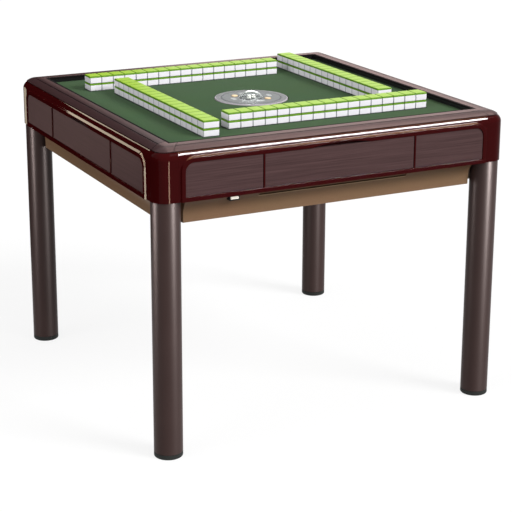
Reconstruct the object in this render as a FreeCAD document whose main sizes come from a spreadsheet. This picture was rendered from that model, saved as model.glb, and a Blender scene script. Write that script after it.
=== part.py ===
import FreeCAD, Part
import math
import operator
import os

import Sketcher

# A square automatic mahjong table on four round legs, with a drawer in each side, four tile walls on
# lift trays, a console that rises from the middle and a shuffling turntable inside.
# Millimetres, +Z up, origin on the floor under the table's centre. The front faces -Y.

doc = FreeCAD.newDocument("mahjong_table")
sheet = doc.addObject("Spreadsheet::Sheet", "Sizes")
nodes = {}

SIDES = ("front", "right", "back", "left")
CORNERS = ("front_left", "front_right", "back_right", "back_left")
FULL_TURN = 360
QUARTER_TURN = 90
UP = FreeCAD.Vector(0, 0, 1)
OPERATIONS = {"+": operator.add, "-": operator.sub, "*": operator.mul, "/": operator.truediv}


class Size:
    """A length with its number and the sheet formula that gives it."""

    def __init__(self, formula, number):
        self.formula = formula
        self.number = number

    def __add__(self, other):
        return combine(self, "+", other)

    def __sub__(self, other):
        return combine(self, "-", other)

    def __mul__(self, other):
        return combine(self, "*", other)

    def __truediv__(self, other):
        return combine(self, "/", other)

    def __neg__(self):
        return Size("(-" + self.formula + ")", -self.number)


def combine(first, sign, second):
    """Join two lengths, or a length and a plain factor, into one formula."""
    if not isinstance(second, Size):
        second = Size(str(second), second)
    formula = "(" + first.formula + " " + sign + " " + second.formula + ")"
    return Size(formula, OPERATIONS[sign](first.number, second.number))


def chord(radius, offset):
    """Half the chord of a circle at a distance from its centre."""
    formula = "sqrt(" + (radius * radius - offset * offset).formula + ")"
    return Size(formula, math.sqrt(radius.number ** 2 - offset.number ** 2))


ZERO = Size("0", 0)


def size(name, number):
    """Write one driving dimension to the sheet and return it."""
    row = str(len(sheet.getUsedCells()) // 2 + 1)
    sheet.set("A" + row, name)
    sheet.set("B" + row, str(number))
    sheet.setAlias("B" + row, name)
    return Size("Sizes." + name, number)


def bind(item, **lengths):
    """Bind properties to lengths; two underscores in a name stand for a dot."""
    for name, length in lengths.items():
        item.setExpression(name.replace("__", "."), length.formula)


def turned(x, y, quarter):
    """A plan position after so many quarter turns about the table's axis."""
    return ((x, y), (-y, x), (-x, -y), (y, -x))[quarter]


def place(item, quarter, x=ZERO, y=ZERO, z=ZERO, extra_turn=0):
    """Turn an item by quarters about Z and bind its place, given before the turn."""
    turn = FreeCAD.Rotation(UP, QUARTER_TURN * quarter + extra_turn)
    item.Placement = FreeCAD.Placement(FreeCAD.Vector(), turn)
    east, north = turned(x, y, quarter)
    bind(item, Placement__Base__x=east, Placement__Base__y=north, Placement__Base__z=z)
    return item


def node(label, item):
    """Name a finished piece."""
    item.Label = label
    nodes[label] = item
    return item


def group(label, members):
    """Several separate solids of one kind under one name."""
    item = doc.addObject("Part::Compound", label)
    item.Links = members
    return node(label, item)


def box(name, x, y, z, quarter=0):
    """A block between pairs of limits, given before its quarter turns."""
    item = doc.addObject("Part::Box", name)
    bind(item, Length=x[1] - x[0], Width=y[1] - y[0], Height=z[1] - z[0])
    return place(item, quarter, x[0], y[0], z[0])


def cylinder(name, radius, x, y, z, quarter=0):
    """An upright cylinder between two levels."""
    item = doc.addObject("Part::Cylinder", name)
    bind(item, Radius=radius, Height=z[1] - z[0])
    return place(item, quarter, x, y, z[0])


def fuse(name, members):
    item = doc.addObject("Part::MultiFuse", name)
    item.Shapes = members
    return item


def cut(name, base, tools):
    item = doc.addObject("Part::Cut", name)
    item.Base = base
    item.Tool = tools[0] if len(tools) == 1 else fuse(name + "_cuts", tools)
    return item


def new_body(name):
    return doc.addObject("PartDesign::Body", name)


def sketch_on(body, name, role, lift=ZERO):
    """A sketch on one of the body's own origin planes, raised along its normal."""
    sketch = body.newObject("Sketcher::SketchObject", name)
    plane = [item for item in body.Origin.OriginFeatures if item.Role == role][0]
    sketch.AttachmentSupport = [(plane, "")]
    sketch.MapMode = "FlatFace"
    bind(sketch, AttachmentOffset__Base__z=lift)
    return sketch


def pin_point(sketch, edge, end, axis, length):
    """Fix one coordinate of a point from the sketch's origin."""
    if length is ZERO:
        sketch.addConstraint(Sketcher.Constraint("PointOnObject", edge, end, -2 if axis == "X" else -1))
        return
    rule = Sketcher.Constraint("Distance" + axis, -1, 1, edge, end, length.number)
    index = sketch.addConstraint(rule)
    sketch.setExpression("Constraints[" + str(index) + "]", length.formula)


def outline(sketch, corners):
    """A closed outline. A corner (x, y) is reached by a straight line, and a corner (x, y, cx, cy, way)
    by an arc about (cx, cy), anticlockwise where way is 1 and clockwise where it is -1."""
    ends = []
    start = corners[-1]
    for corner in corners:
        first = FreeCAD.Vector(start[0].number, start[1].number, 0)
        last = FreeCAD.Vector(corner[0].number, corner[1].number, 0)
        if len(corner) == 2:
            edge = sketch.addGeometry(Part.LineSegment(first, last))
            ends.append((edge, 1, 2))
        else:
            centre = FreeCAD.Vector(corner[2].number, corner[3].number, 0)
            angles = [math.atan2(p.y - centre.y, p.x - centre.x) for p in (first, last)]
            if corner[4] < 0:
                angles.reverse()
            if angles[1] < angles[0]:
                angles[1] += 2 * math.pi
            circle = Part.Circle(centre, UP, (first - centre).Length)
            edge = sketch.addGeometry(Part.ArcOfCircle(circle, angles[0], angles[1]))
            ends.append((edge, 1, 2) if corner[4] > 0 else (edge, 2, 1))
        start = corner
    for (edge, _, leave), (following, enter, _) in zip(ends, ends[1:] + ends[:1]):
        sketch.addConstraint(Sketcher.Constraint("Coincident", edge, leave, following, enter))
    for (edge, _, leave), corner in zip(ends, corners):
        if len(corner) == 2:
            pin_point(sketch, edge, leave, "X", corner[0])
            pin_point(sketch, edge, leave, "Y", corner[1])
            continue
        pin_point(sketch, edge, 3, "X", corner[2])
        pin_point(sketch, edge, 3, "Y", corner[3])
        rise = abs(corner[1].number - corner[3].number)
        run = abs(corner[0].number - corner[2].number)
        if rise > run:
            pin_point(sketch, edge, leave, "X", corner[0])
        else:
            pin_point(sketch, edge, leave, "Y", corner[1])


def circle_at(sketch, x, y, radius):
    """A full circle in a sketch."""
    centre = FreeCAD.Vector(x.number, y.number, 0)
    edge = sketch.addGeometry(Part.Circle(centre, UP, radius.number))
    index = sketch.addConstraint(Sketcher.Constraint("Radius", edge, radius.number))
    sketch.setExpression("Constraints[" + str(index) + "]", radius.formula)
    pin_point(sketch, edge, 3, "X", x)
    pin_point(sketch, edge, 3, "Y", y)


def rectangle(x, y):
    """The corners of an upright rectangle between pairs of limits."""
    return [(x[0], y[0]), (x[1], y[0]), (x[1], y[1]), (x[0], y[1])]


def mirrored(corners):
    """The same outline on the other side of the sketch's vertical axis."""
    flipped = []
    for corner in corners:
        if len(corner) == 2:
            flipped.append((-corner[0], corner[1]))
        else:
            flipped.append((-corner[0], corner[1], -corner[2], corner[3], -corner[4]))
    return flipped


def extrude(body, kind, sketch, length, both_ways=False, backward=False):
    """A Pad or Pocket of a sketch."""
    feature = body.newObject("PartDesign::" + kind, sketch.Name + "_" + kind.lower())
    feature.Profile = sketch
    feature.SideType = "Symmetric" if both_ways else "One side"
    feature.Reversed = backward
    bind(feature, Length=length)
    return feature


def revolve(body, sketch, angle=FULL_TURN):
    """A solid of revolution about the sketch's vertical axis."""
    feature = body.newObject("PartDesign::Revolution", sketch.Name + "_turn")
    feature.Profile = sketch
    feature.ReferenceAxis = (sketch, ["V_Axis"])
    feature.Angle = angle
    return feature


def turned_piece(name, corners):
    """A body turned on the lathe from a half section (radius, level)."""
    body = new_body(name)
    sketch = sketch_on(body, name + "_section", "XZ_Plane")
    outline(sketch, corners)
    revolve(body, sketch)
    return body


overrun = size("overrun", 5)
slide_gap = size("slide_gap", 0.3)

# Overall plan and levels
table_half = size("table_half", 480)
leg_radius = size("leg_radius", 35)
post_wall = size("post_wall", 5)
leg_offset = size("leg_offset", 1.5)
under_clearance = size("under_clearance", 571.5)
tub_height = size("tub_height", 62)
apron_height = size("apron_height", 115.5)
felt_drop = size("felt_drop", 3)
felt_thickness = size("felt_thickness", 3)
board_thickness = size("board_thickness", 12)
corner_radius = leg_radius + post_wall
corner_centre = table_half - corner_radius
leg_half = corner_centre - leg_offset
apron_bottom = under_clearance + tub_height
apron_top = apron_bottom + apron_height
felt_top = apron_top - felt_drop
board_top = felt_top - felt_thickness
board_bottom = board_top - board_thickness

# Legs: steel tubes on black feet, each hung on a flanged spigot and held by one cross bolt
leg_wall = size("leg_wall", 2)
leg_clearance = size("leg_clearance", 0.5)
foot_height = size("foot_height", 12)
foot_bevel = size("foot_bevel", 2)
foot_plug_height = size("foot_plug_height", 18)
spigot_length = size("spigot_length", 90)
spigot_wall = size("spigot_wall", 4)
spigot_flange = size("spigot_flange", 6)
bolt_radius = size("bolt_radius", 4)
bolt_head_radius = size("bolt_head_radius", 7)
bolt_head_height = size("bolt_head_height", 5)
bolt_drop = size("bolt_drop", 50)
bolt_grip = size("bolt_grip", 12)
leg_top = board_bottom - spigot_flange
leg_bore = leg_radius - leg_wall
spigot_radius = leg_bore - slide_gap
bolt_level = leg_top - bolt_drop


def bolt_hole(body, name):
    """Cut the cross bolt's hole through one wall, on the side that faces along +X."""
    sketch = sketch_on(body, name, "YZ_Plane")
    circle_at(sketch, ZERO, bolt_level, bolt_radius + slide_gap)
    extrude(body, "Pocket", sketch, leg_radius + overrun, backward=True)


for quarter, corner in enumerate(CORNERS):
    leg = new_body("leg_" + corner)
    section = sketch_on(leg, "leg_section_" + corner, "XY_Plane", foot_height)
    circle_at(section, ZERO, ZERO, leg_radius)
    circle_at(section, ZERO, ZERO, leg_bore)
    extrude(leg, "Pad", section, leg_top - foot_height)
    bolt_hole(leg, "leg_hole_" + corner)
    node("leg_" + corner, place(leg, quarter, -leg_half, -leg_half))

feet = []
spigots = []
bolts = []
for quarter, corner in enumerate(CORNERS):
    plug_top = foot_height + foot_plug_height
    foot = turned_piece("foot_" + corner, [
        (ZERO, ZERO), (leg_radius - foot_bevel, ZERO), (leg_radius, foot_bevel),
        (leg_radius, foot_height), (leg_bore - slide_gap, foot_height),
        (leg_bore - slide_gap, plug_top), (ZERO, plug_top)])
    feet.append(place(foot, quarter, -leg_half, -leg_half))
    spigot = turned_piece("spigot_" + corner, [
        (spigot_radius - spigot_wall, leg_top - spigot_length), (spigot_radius, leg_top - spigot_length),
        (spigot_radius, leg_top), (leg_radius, leg_top), (leg_radius, board_bottom),
        (spigot_radius - spigot_wall, board_bottom)])
    bolt_hole(spigot, "spigot_hole_" + corner)
    spigots.append(place(spigot, quarter, -leg_half, -leg_half))
    bolt = new_body("bolt_" + corner)
    for part_name, radius, start, length in (
            ("bolt_shank_", bolt_radius, leg_radius - bolt_grip, bolt_grip),
            ("bolt_head_", bolt_head_radius, leg_radius, bolt_head_height)):
        section = sketch_on(bolt, part_name + corner, "YZ_Plane", start)
        circle_at(section, ZERO, bolt_level, radius)
        extrude(bolt, "Pad", section, length)
    bolts.append(place(bolt, quarter, -leg_half, -leg_half))
group("leg_feet", feet)
group("leg_spigots", spigots)
group("leg_bolts", bolts)

# Base tub: a moulded tray under the frame, with a hollow cove all round and notches for the legs
drawer_half = size("drawer_half", 203.5)
tub_inset = size("tub_inset", 14)
cove_depth = size("cove_depth", 30.4)
cove_straight = size("cove_straight", 18.5)
tub_wall = size("tub_wall", 4)
tub_floor = size("tub_floor", 4)
tub_well_depth = size("tub_well_depth", 14)
tub_well_step = size("tub_well_step", 6)
notch_gap = size("notch_gap", 10)
grip_inset = size("grip_inset", 1.5)
grip_height = size("grip_height", 17)
grip_depth = size("grip_depth", 3)
tub_top_half = table_half - tub_inset
tub_foot_half = tub_top_half - cove_depth
floor_top = under_clearance + tub_floor
grip_half = drawer_half - grip_inset
cove_rise = tub_height - cove_straight
cove_arc = (cove_rise * cove_rise + cove_depth * cove_depth) / (cove_depth * 2)
cove_level = under_clearance + cove_straight
cove_line = -(tub_foot_half + cove_arc)
notch_radius = leg_radius + notch_gap


def notched_square(half, radius):
    """A square whose corners are cut away round the four legs."""
    reach = leg_half - chord(radius, leg_half - half)
    corners = []
    for quarter in range(4):
        cx, cy = turned(leg_half, -leg_half, quarter)
        corners.append(turned(reach, -half, quarter))
        corners.append(turned(half, -reach, quarter) + (cx, cy, -1))
    return corners


tub = new_body("base_tub")
section = sketch_on(tub, "tub_block", "XY_Plane", under_clearance)
outline(section, notched_square(tub_top_half, notch_radius))
extrude(tub, "Pad", section, tub_height)
section = sketch_on(tub, "tub_cavity", "XY_Plane", apron_bottom)
outline(section, notched_square(tub_foot_half - tub_wall, notch_radius + tub_wall))
extrude(tub, "Pocket", section, tub_height - tub_floor)
section = sketch_on(tub, "tub_well", "XY_Plane", apron_bottom)
outline(section, notched_square(tub_foot_half - tub_wall + tub_well_step, notch_radius + tub_wall))
extrude(tub, "Pocket", section, tub_well_depth)
section = sketch_on(tub, "tub_cove", "YZ_Plane")
outline(section, [
    (-tub_foot_half, cove_level),
    (-tub_top_half, apron_bottom, cove_line, cove_level, 1),
    (-tub_top_half - overrun, apron_bottom), (-tub_top_half - overrun, under_clearance - overrun),
    (-tub_foot_half, under_clearance - overrun)])
cove = extrude(tub, "Pocket", section, tub_top_half * 2, both_ways=True)
grip_rise = cove_rise - grip_height
grip_reach = chord(cove_arc, grip_rise)
grip_arc = cove_arc + grip_depth
grip_swell = grip_arc / cove_arc
section = sketch_on(tub, "tub_grip", "YZ_Plane")
outline(section, [
    (cove_line + grip_reach, cove_level + grip_rise),
    (cove_line + grip_reach * grip_swell, cove_level + grip_rise * grip_swell),
    (cove_line + chord(grip_arc, cove_rise), apron_bottom, cove_line, cove_level, 1),
    (-tub_top_half - overrun, apron_bottom)])
grip = extrude(tub, "Pocket", section, grip_half * 2, both_ways=True)
round_the_table = tub.newObject("PartDesign::PolarPattern", "tub_sides")
round_the_table.Originals = [cove, grip]
round_the_table.Axis = ([item for item in tub.Origin.OriginFeatures if item.Role == "Z_Axis"][0], [""])
round_the_table.Angle = FULL_TURN
round_the_table.Occurrences = len(SIDES)
tub.Tip = round_the_table

# Power switch: a small rocker in a dark bezel let into the front of the tub
switch_reach = size("switch_reach", 167)
switch_half_width = size("switch_half_width", 13)
switch_height = size("switch_height", 12)
switch_top_gap = size("switch_top_gap", 4.5)
switch_depth = size("switch_depth", 26)
switch_inset = size("switch_inset", 5)
bezel_rim = size("bezel_rim", 2.5)
rocker_gap = size("rocker_gap", 0.8)
rocker_depth = size("rocker_depth", 8)
rocker_proud = size("rocker_proud", 1)
rocker_crown = size("rocker_crown", 1.2)
switch_well = size("switch_well", 14)
switch_x = switch_reach - corner_centre
switch_top = apron_bottom - switch_top_gap
switch_face = tub_top_half - switch_inset
switch_x_limits = (switch_x - switch_half_width, switch_x + switch_half_width)
switch_z_limits = (switch_top - switch_height, switch_top)
section = sketch_on(tub, "tub_switch_hole", "XZ_Plane", tub_top_half + overrun)
outline(section, rectangle(switch_x_limits, switch_z_limits))
extrude(tub, "Pocket", section, overrun + switch_inset + switch_depth)

# Cord gland: a flanged bush through the tub's floor for the mains lead
gland_reach = size("gland_reach", 190)
gland_inset = size("gland_inset", 65)
gland_bore = size("gland_bore", 4)
gland_radius = size("gland_radius", 8)
gland_flange_radius = size("gland_flange_radius", 12)
gland_flange = size("gland_flange", 3)
gland_height = size("gland_height", 16)
gland_x = corner_centre - gland_reach
gland_y = tub_foot_half - gland_inset
section = sketch_on(tub, "tub_gland_hole", "XY_Plane", floor_top)
circle_at(section, gland_x, gland_y, gland_radius)
extrude(tub, "Pocket", section, tub_floor + overrun)
node("base_tub", tub)
gland = turned_piece("cord_gland", [
    (gland_bore, under_clearance - gland_flange), (gland_flange_radius, under_clearance - gland_flange),
    (gland_flange_radius, under_clearance), (gland_radius, under_clearance),
    (gland_radius, floor_top + gland_height), (gland_bore, floor_top + gland_height)])
node("cord_gland", place(gland, 0, gland_x, gland_y))

bezel = new_body("switch_bezel")
section = sketch_on(bezel, "bezel_block", "XZ_Plane", switch_face)
outline(section, rectangle(switch_x_limits, switch_z_limits))
extrude(bezel, "Pad", section, switch_depth, backward=True)
well_x = (switch_x_limits[0] + bezel_rim, switch_x_limits[1] - bezel_rim)
well_z = (switch_z_limits[0] + bezel_rim, switch_z_limits[1] - bezel_rim)
section = sketch_on(bezel, "bezel_well", "XZ_Plane", switch_face)
outline(section, rectangle(well_x, well_z))
extrude(bezel, "Pocket", section, switch_well)
node("switch_bezel", bezel)
rocker = new_body("power_rocker")
section = sketch_on(rocker, "rocker_plan", "XY_Plane", well_z[0] + rocker_gap)
rocker_face = switch_face + rocker_proud
outline(section, [
    (well_x[0] + rocker_gap, -rocker_face), (switch_x, -(rocker_face - rocker_crown)),
    (well_x[1] - rocker_gap, -rocker_face), (well_x[1] - rocker_gap, -(switch_face - rocker_depth)),
    (well_x[0] + rocker_gap, -(switch_face - rocker_depth))])
extrude(rocker, "Pad", section, switch_height - bezel_rim * 2 - rocker_gap * 2)
node("power_rocker", rocker)

# Aprons: glossy rails round the frame. Each has a raised field with sloped shoulders, and in the field
# two sunk panel beds and a drawer opening
apron_wall = size("apron_wall", 24)
apron_upper_wall = size("apron_upper_wall", 28)
ledge_width = size("ledge_width", 12)
ledge_height = size("ledge_height", 10)
roll_height = size("roll_height", 18)
roll_setback = size("roll_setback", 10)
post_reach = size("post_reach", 20)
field_rise = size("field_rise", 4)
field_depth = size("field_depth", 7)
field_shoulder = size("field_shoulder", 5)
panel_sink = size("panel_sink", 2)
field_end = size("field_end", 1)
field_margin = size("field_margin", 14)
field_above = size("field_above", 15)
field_radius = size("field_radius", 35)
bottom_band = size("bottom_band", 10.5)
top_band = size("top_band", 24)
panel_radius = size("panel_radius", 22)
panel_thickness = size("panel_thickness", 5)
mullion = size("mullion", 4)
scoop_half = size("scoop_half", 80)
scoop_rise = size("scoop_rise", 8)
scoop_depth = size("scoop_depth", 12)
apron_half = corner_centre - post_reach
frame_face = table_half - field_rise
apron_inside = table_half - apron_wall
board_edge = table_half - apron_upper_wall
roll_start = apron_top - roll_height
roll_arc = (roll_height * roll_height + roll_setback * roll_setback) / (roll_setback * 2)
panel_bottom = apron_bottom + bottom_band
panel_top = apron_top - top_band
field_top = panel_top + field_above
field_half = apron_half - field_end
panel_half = field_half - field_margin
panel_face = table_half - panel_sink
panel_inner = drawer_half + mullion
scoop_arc = (scoop_half * scoop_half + scoop_rise * scoop_rise) / (scoop_rise * 2)


def panel_outline(gap):
    """The outline of the right-hand fixed panel, drawn in by a gap."""
    left, right = panel_inner + gap, panel_half - gap
    low, high = panel_bottom + gap, panel_top - gap
    return [(left, low), (right, low), (right, high - panel_radius),
            (right - panel_radius, high, right - panel_radius, high - panel_radius, 1), (left, high)]


def field_outline(inset):
    """The outline of the raised field, drawn in by an inset at its sides and top."""
    half, top = field_half - inset, field_top - inset
    bend_x, bend_z = field_half - field_radius, field_top - field_radius
    return [(-half, apron_bottom), (half, apron_bottom), (half, bend_z), (bend_x, top, bend_x, bend_z, 1),
            (-bend_x, top), (-half, bend_z, -bend_x, bend_z, 1)]


def make_apron(side, quarter):
    apron = new_body("apron_" + side)
    section = sketch_on(apron, "apron_section_" + side, "YZ_Plane")
    outline(section, [
        (-frame_face, apron_bottom), (-apron_inside, apron_bottom),
        (-apron_inside, board_bottom - ledge_height), (ledge_width - board_edge, board_bottom - ledge_height),
        (ledge_width - board_edge, board_bottom), (-board_edge, board_bottom), (-board_edge, apron_top),
        (roll_setback - frame_face, apron_top),
        (-frame_face, roll_start, roll_arc - frame_face, roll_start, 1)])
    extrude(apron, "Pad", section, apron_half * 2, both_ways=True)
    foot = sketch_on(apron, "apron_field_foot_" + side, "XZ_Plane", table_half - field_depth)
    outline(foot, field_outline(ZERO))
    crest = sketch_on(apron, "apron_field_crest_" + side, "XZ_Plane", table_half)
    outline(crest, field_outline(field_shoulder))
    field = apron.newObject("PartDesign::AdditiveLoft", "apron_field_" + side)
    field.Profile = foot
    field.Sections = [crest]
    field.Ruled = True
    section = sketch_on(apron, "apron_beds_" + side, "XZ_Plane", table_half)
    outline(section, panel_outline(ZERO))
    outline(section, mirrored(panel_outline(ZERO)))
    extrude(apron, "Pocket", section, panel_sink + panel_thickness)
    section = sketch_on(apron, "apron_opening_" + side, "XZ_Plane", table_half)
    outline(section, rectangle((-drawer_half, drawer_half), (panel_bottom, panel_top)))
    extrude(apron, "Pocket", section, apron_wall + overrun)
    section = sketch_on(apron, "apron_scoop_" + side, "XZ_Plane", table_half)
    outline(section, [
        (-scoop_half, panel_top - overrun), (scoop_half, panel_top - overrun), (scoop_half, panel_top),
        (-scoop_half, panel_top, ZERO, panel_top + scoop_rise - scoop_arc, 1)])
    extrude(apron, "Pocket", section, scoop_depth)
    section = sketch_on(apron, "apron_leg_room_" + side, "XY_Plane")
    for sign in (1, -1):
        circle_at(section, leg_half * sign, -leg_half, leg_radius + leg_clearance)
    extrude(apron, "Pocket", section, board_bottom, backward=True)
    return node("apron_" + side, place(apron, quarter))


for quarter, side in enumerate(SIDES):
    make_apron(side, quarter)


def make_corner_post(corner, quarter):
    """A rounded corner of the frame, with room for the leg below and for the board's corner above it."""
    post = new_body("post_" + corner)
    post_radius = corner_radius - field_rise
    rolled = [(post_radius, roll_start),
              (post_radius - roll_setback, apron_top, post_radius - roll_arc, roll_start, 1)]
    section = sketch_on(post, "post_round_" + corner, "XZ_Plane")
    outline(section, [(ZERO, apron_bottom), (post_radius, apron_bottom)] + rolled + [(ZERO, apron_top)])
    revolve(post, section, QUARTER_TURN)
    inner = corner_radius - apron_wall
    for plane, backward in (("XZ_Plane", False), ("YZ_Plane", True)):
        section = sketch_on(post, "post_" + plane + corner, plane)
        foot = [(inner, apron_bottom), (post_radius, apron_bottom)]
        outline(section, foot + rolled + [(inner, apron_top)])
        extrude(post, "Pad", section, post_reach, backward=backward)
    section = sketch_on(post, "post_leg_room_" + corner, "XY_Plane")
    circle_at(section, leg_half - corner_centre, leg_half - corner_centre, leg_radius + leg_clearance)
    extrude(post, "Pocket", section, board_bottom, backward=True)
    board_corner = (-overrun, board_edge - corner_centre)
    section = sketch_on(post, "post_board_room_" + corner, "XY_Plane", board_bottom)
    outline(section, rectangle(board_corner, board_corner))
    extrude(post, "Pocket", section, apron_top + overrun - board_bottom, backward=True)
    return place(post, quarter, -corner_centre, -corner_centre, extra_turn=FULL_TURN / 2)


group("corner_posts", [make_corner_post(corner, quarter) for quarter, corner in enumerate(CORNERS)])

panels = []
for quarter, side in enumerate(SIDES):
    pair = new_body("panels_" + side)
    section = sketch_on(pair, "panel_outline_" + side, "XZ_Plane", panel_face)
    outline(section, panel_outline(slide_gap))
    outline(section, mirrored(panel_outline(slide_gap)))
    extrude(pair, "Pad", section, panel_thickness, backward=True)
    panels.append(place(pair, quarter))
group("fixed_panels", panels)

# Rim: a flat-topped rail on each side that rolls down to the frame, with a cap at each corner
rim_width = size("rim_width", 52)
rim_rise = size("rim_rise", 11)
rim_lip = size("rim_lip", 2.5)
rim_edge = size("rim_edge", 4.5)
liner_inset = size("liner_inset", 1)
liner_width = size("liner_width", 15)
seam_start = size("seam_start", 19)
seam_slant = size("seam_slant", 33)
seam_gap = size("seam_gap", 0.4)
rim_outer = frame_face - roll_setback
play_half = rim_outer - rim_width
seam_inner = play_half - seam_start
seam_outer = seam_inner + seam_slant
rim_crest = apron_top + rim_rise
rim_fall = rim_rise - rim_lip
rim_run = rim_outer - corner_centre
rim_arc = (rim_run * rim_run + rim_fall * rim_fall) / (rim_fall * 2)
liner_inner = play_half + liner_inset
liner_outer = liner_inner + liner_width
seam_rate = (seam_outer - seam_inner) / (rim_outer - play_half)


def rim_section(origin):
    """The rim's section, with distances measured outwards from an origin."""
    return [(play_half - origin, rim_crest - rim_edge), (liner_outer - origin, rim_crest - rim_edge),
            (liner_outer - origin, apron_top), (rim_outer - origin, apron_top),
            (rim_outer - origin, apron_top + rim_lip),
            (corner_centre - origin, rim_crest, corner_centre - origin, rim_crest - rim_arc, 1),
            (play_half - origin, rim_crest)]


def seam_points(shift):
    """The slanted seam between a rail and a corner cap, past both edges of the rim."""
    inner = (seam_inner - shift - seam_rate * overrun, play_half - overrun)
    outer = (seam_outer - shift + seam_rate * overrun, rim_outer + overrun)
    return inner, outer


for quarter, side in enumerate(SIDES):
    rail = new_body("rim_rail_" + side)
    section = sketch_on(rail, "rail_section_" + side, "YZ_Plane")
    outline(section, rim_section(ZERO))
    extrude(rail, "Pad", section, seam_outer * 2, both_ways=True)
    section = sketch_on(rail, "rail_ends_" + side, "XY_Plane")
    inner, outer = seam_points(seam_gap)
    end = [inner, (outer[0] + overrun, inner[1]), (outer[0] + overrun, outer[1]), outer]
    outline(section, end)
    outline(section, mirrored(end))
    extrude(rail, "Pocket", section, rim_crest + overrun, backward=True)
    node("rim_rail_" + side, place(rail, (quarter + 2) % 4))


def make_rim_corner(corner, quarter):
    cap = new_body("cap_" + corner)
    section = sketch_on(cap, "cap_round_" + corner, "XZ_Plane")
    outline(section, [
        (ZERO, apron_top), (rim_run, apron_top), (rim_run, apron_top + rim_lip),
        (ZERO, rim_crest, ZERO, rim_crest - rim_arc, 1)])
    revolve(cap, section, QUARTER_TURN)
    for plane, backward in (("XZ_Plane", False), ("YZ_Plane", True)):
        section = sketch_on(cap, "cap_" + plane + corner, plane)
        outline(section, rim_section(corner_centre))
        extrude(cap, "Pad", section, corner_centre - seam_inner + overrun, backward=backward)
    inner, outer = [(x - corner_centre, y - corner_centre) for x, y in seam_points(ZERO)]
    far = seam_inner - corner_centre - overrun * 2
    section = sketch_on(cap, "cap_seam_x_" + corner, "XY_Plane")
    outline(section, [inner, outer, (far, outer[1]), (far, inner[1])])
    extrude(cap, "Pocket", section, rim_crest + overrun, backward=True)
    section = sketch_on(cap, "cap_seam_y_" + corner, "XY_Plane")
    outline(section, [(y, x) for x, y in (inner, outer, (far, outer[1]), (far, inner[1]))])
    extrude(cap, "Pocket", section, rim_crest + overrun, backward=True)
    return place(cap, quarter, -corner_centre, -corner_centre, extra_turn=FULL_TURN / 2)


group("rim_corners", [make_rim_corner(corner, quarter) for quarter, corner in enumerate(CORNERS)])

liners = []
for quarter, side in enumerate(SIDES):
    liners.append(box("liner_" + side, (-liner_outer, liner_inner), (-liner_outer, -liner_inner),
                      (felt_top, rim_crest - rim_edge), quarter))
group("rim_liners", liners)

# Tile walls: two layers of tiles on a lift tray in each side, set like a pinwheel
tile_count = 17
tile_layers = 2
tile_length = size("tile_length", 42)
tile_height = size("tile_height", 20)
tile_gap = size("tile_gap", 0.25)
pinwheel_gap = size("pinwheel_gap", 47)
wall_end_gap = size("wall_end_gap", 63.3)
drawer_front_thickness = size("drawer_front_thickness", 10)
drawer_length = size("drawer_length", 154)
drawer_back_gap = size("drawer_back_gap", 12)
tray_margin = size("tray_margin", 1)
tray_thickness = size("tray_thickness", 5)
slot_gap = size("slot_gap", 1)
lift_travel = size("lift_travel", 62)
guide_inset = size("guide_inset", 81.35)
guide_rod_radius = size("guide_rod_radius", 6)
guide_wall = size("guide_wall", 4)
guide_headroom = size("guide_headroom", 7.5)
guide_floor = size("guide_floor", 2)
actuator_rod_radius = size("actuator_rod_radius", 8)
actuator_wall = size("actuator_wall", 7)
front_back = panel_face - drawer_front_thickness
tray_inner_end = front_back - drawer_length
wall_face = tray_inner_end - drawer_back_gap - tray_margin
wall_inside = wall_face - tile_length
wall_start = pinwheel_gap - wall_inside
wall_end = play_half - wall_end_gap
tile_pitch = (wall_end - wall_start) / tile_count
guide_spread = (wall_end - wall_start) / 2 - guide_inset
wall_middle = (wall_start + wall_end) / 2
lift_line = wall_face - tile_length / 2
tray_x = (wall_start - tray_margin, wall_end + tray_margin)
tray_y = (-(wall_face + tray_margin), -(wall_inside - tray_margin))
tray_z = (felt_top - tray_thickness, felt_top)
rod_bottom = floor_top + guide_floor + lift_travel + slide_gap
guide_top = tray_z[0] - lift_travel - guide_headroom


def make_tiles(side, quarter):
    tiles = new_body("tiles_" + side)
    section = sketch_on(tiles, "tile_plan_" + side, "XY_Plane", felt_top)
    outline(section, rectangle((wall_start + tile_gap, wall_start + tile_pitch), (-wall_face, -wall_inside)))
    tile = extrude(tiles, "Pad", section, tile_height - tile_gap)
    axes = {item.Role: item for item in tiles.Origin.OriginFeatures}
    rows = tiles.newObject("PartDesign::LinearPattern", "tile_rows_" + side)
    rows.Originals = [tile]
    rows.Direction = (axes["X_Axis"], [""])
    rows.Direction2 = (axes["Z_Axis"], [""])
    rows.Occurrences = tile_count
    rows.Occurrences2 = tile_layers
    bind(rows, Length=tile_pitch * (tile_count - 1), Length2=tile_height * (tile_layers - 1))
    tiles.Tip = rows
    return node("tiles_" + side, place(tiles, quarter))


guides = []
actuators = []
for quarter, side in enumerate(SIDES):
    make_tiles(side, quarter)
    lift_parts = [box("tray_plate_" + side, tray_x, tray_y, tray_z, quarter)]
    for index, (offset, rod, wall) in enumerate((
            (-guide_spread, guide_rod_radius, guide_wall), (guide_spread, guide_rod_radius, guide_wall),
            (ZERO, actuator_rod_radius, actuator_wall))):
        name = side + "_" + str(index)
        x = wall_middle + offset
        lift_parts.append(cylinder("rod_" + name, rod, x, -lift_line, (rod_bottom, tray_z[0]), quarter))
        sleeve = cylinder("sleeve_" + name, rod + wall, x, -lift_line, (floor_top, guide_top), quarter)
        bore = cylinder("bore_" + name, rod + slide_gap, x, -lift_line,
                        (floor_top + guide_floor, guide_top + overrun), quarter)
        guide = cut("guide_" + name, sleeve, [bore])
        (actuators if offset is ZERO else guides).append(guide)
    node("lift_tray_" + side, fuse("lift_tray_" + side, lift_parts))
group("lift_guides", guides)
group("lift_actuators", actuators)

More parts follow.
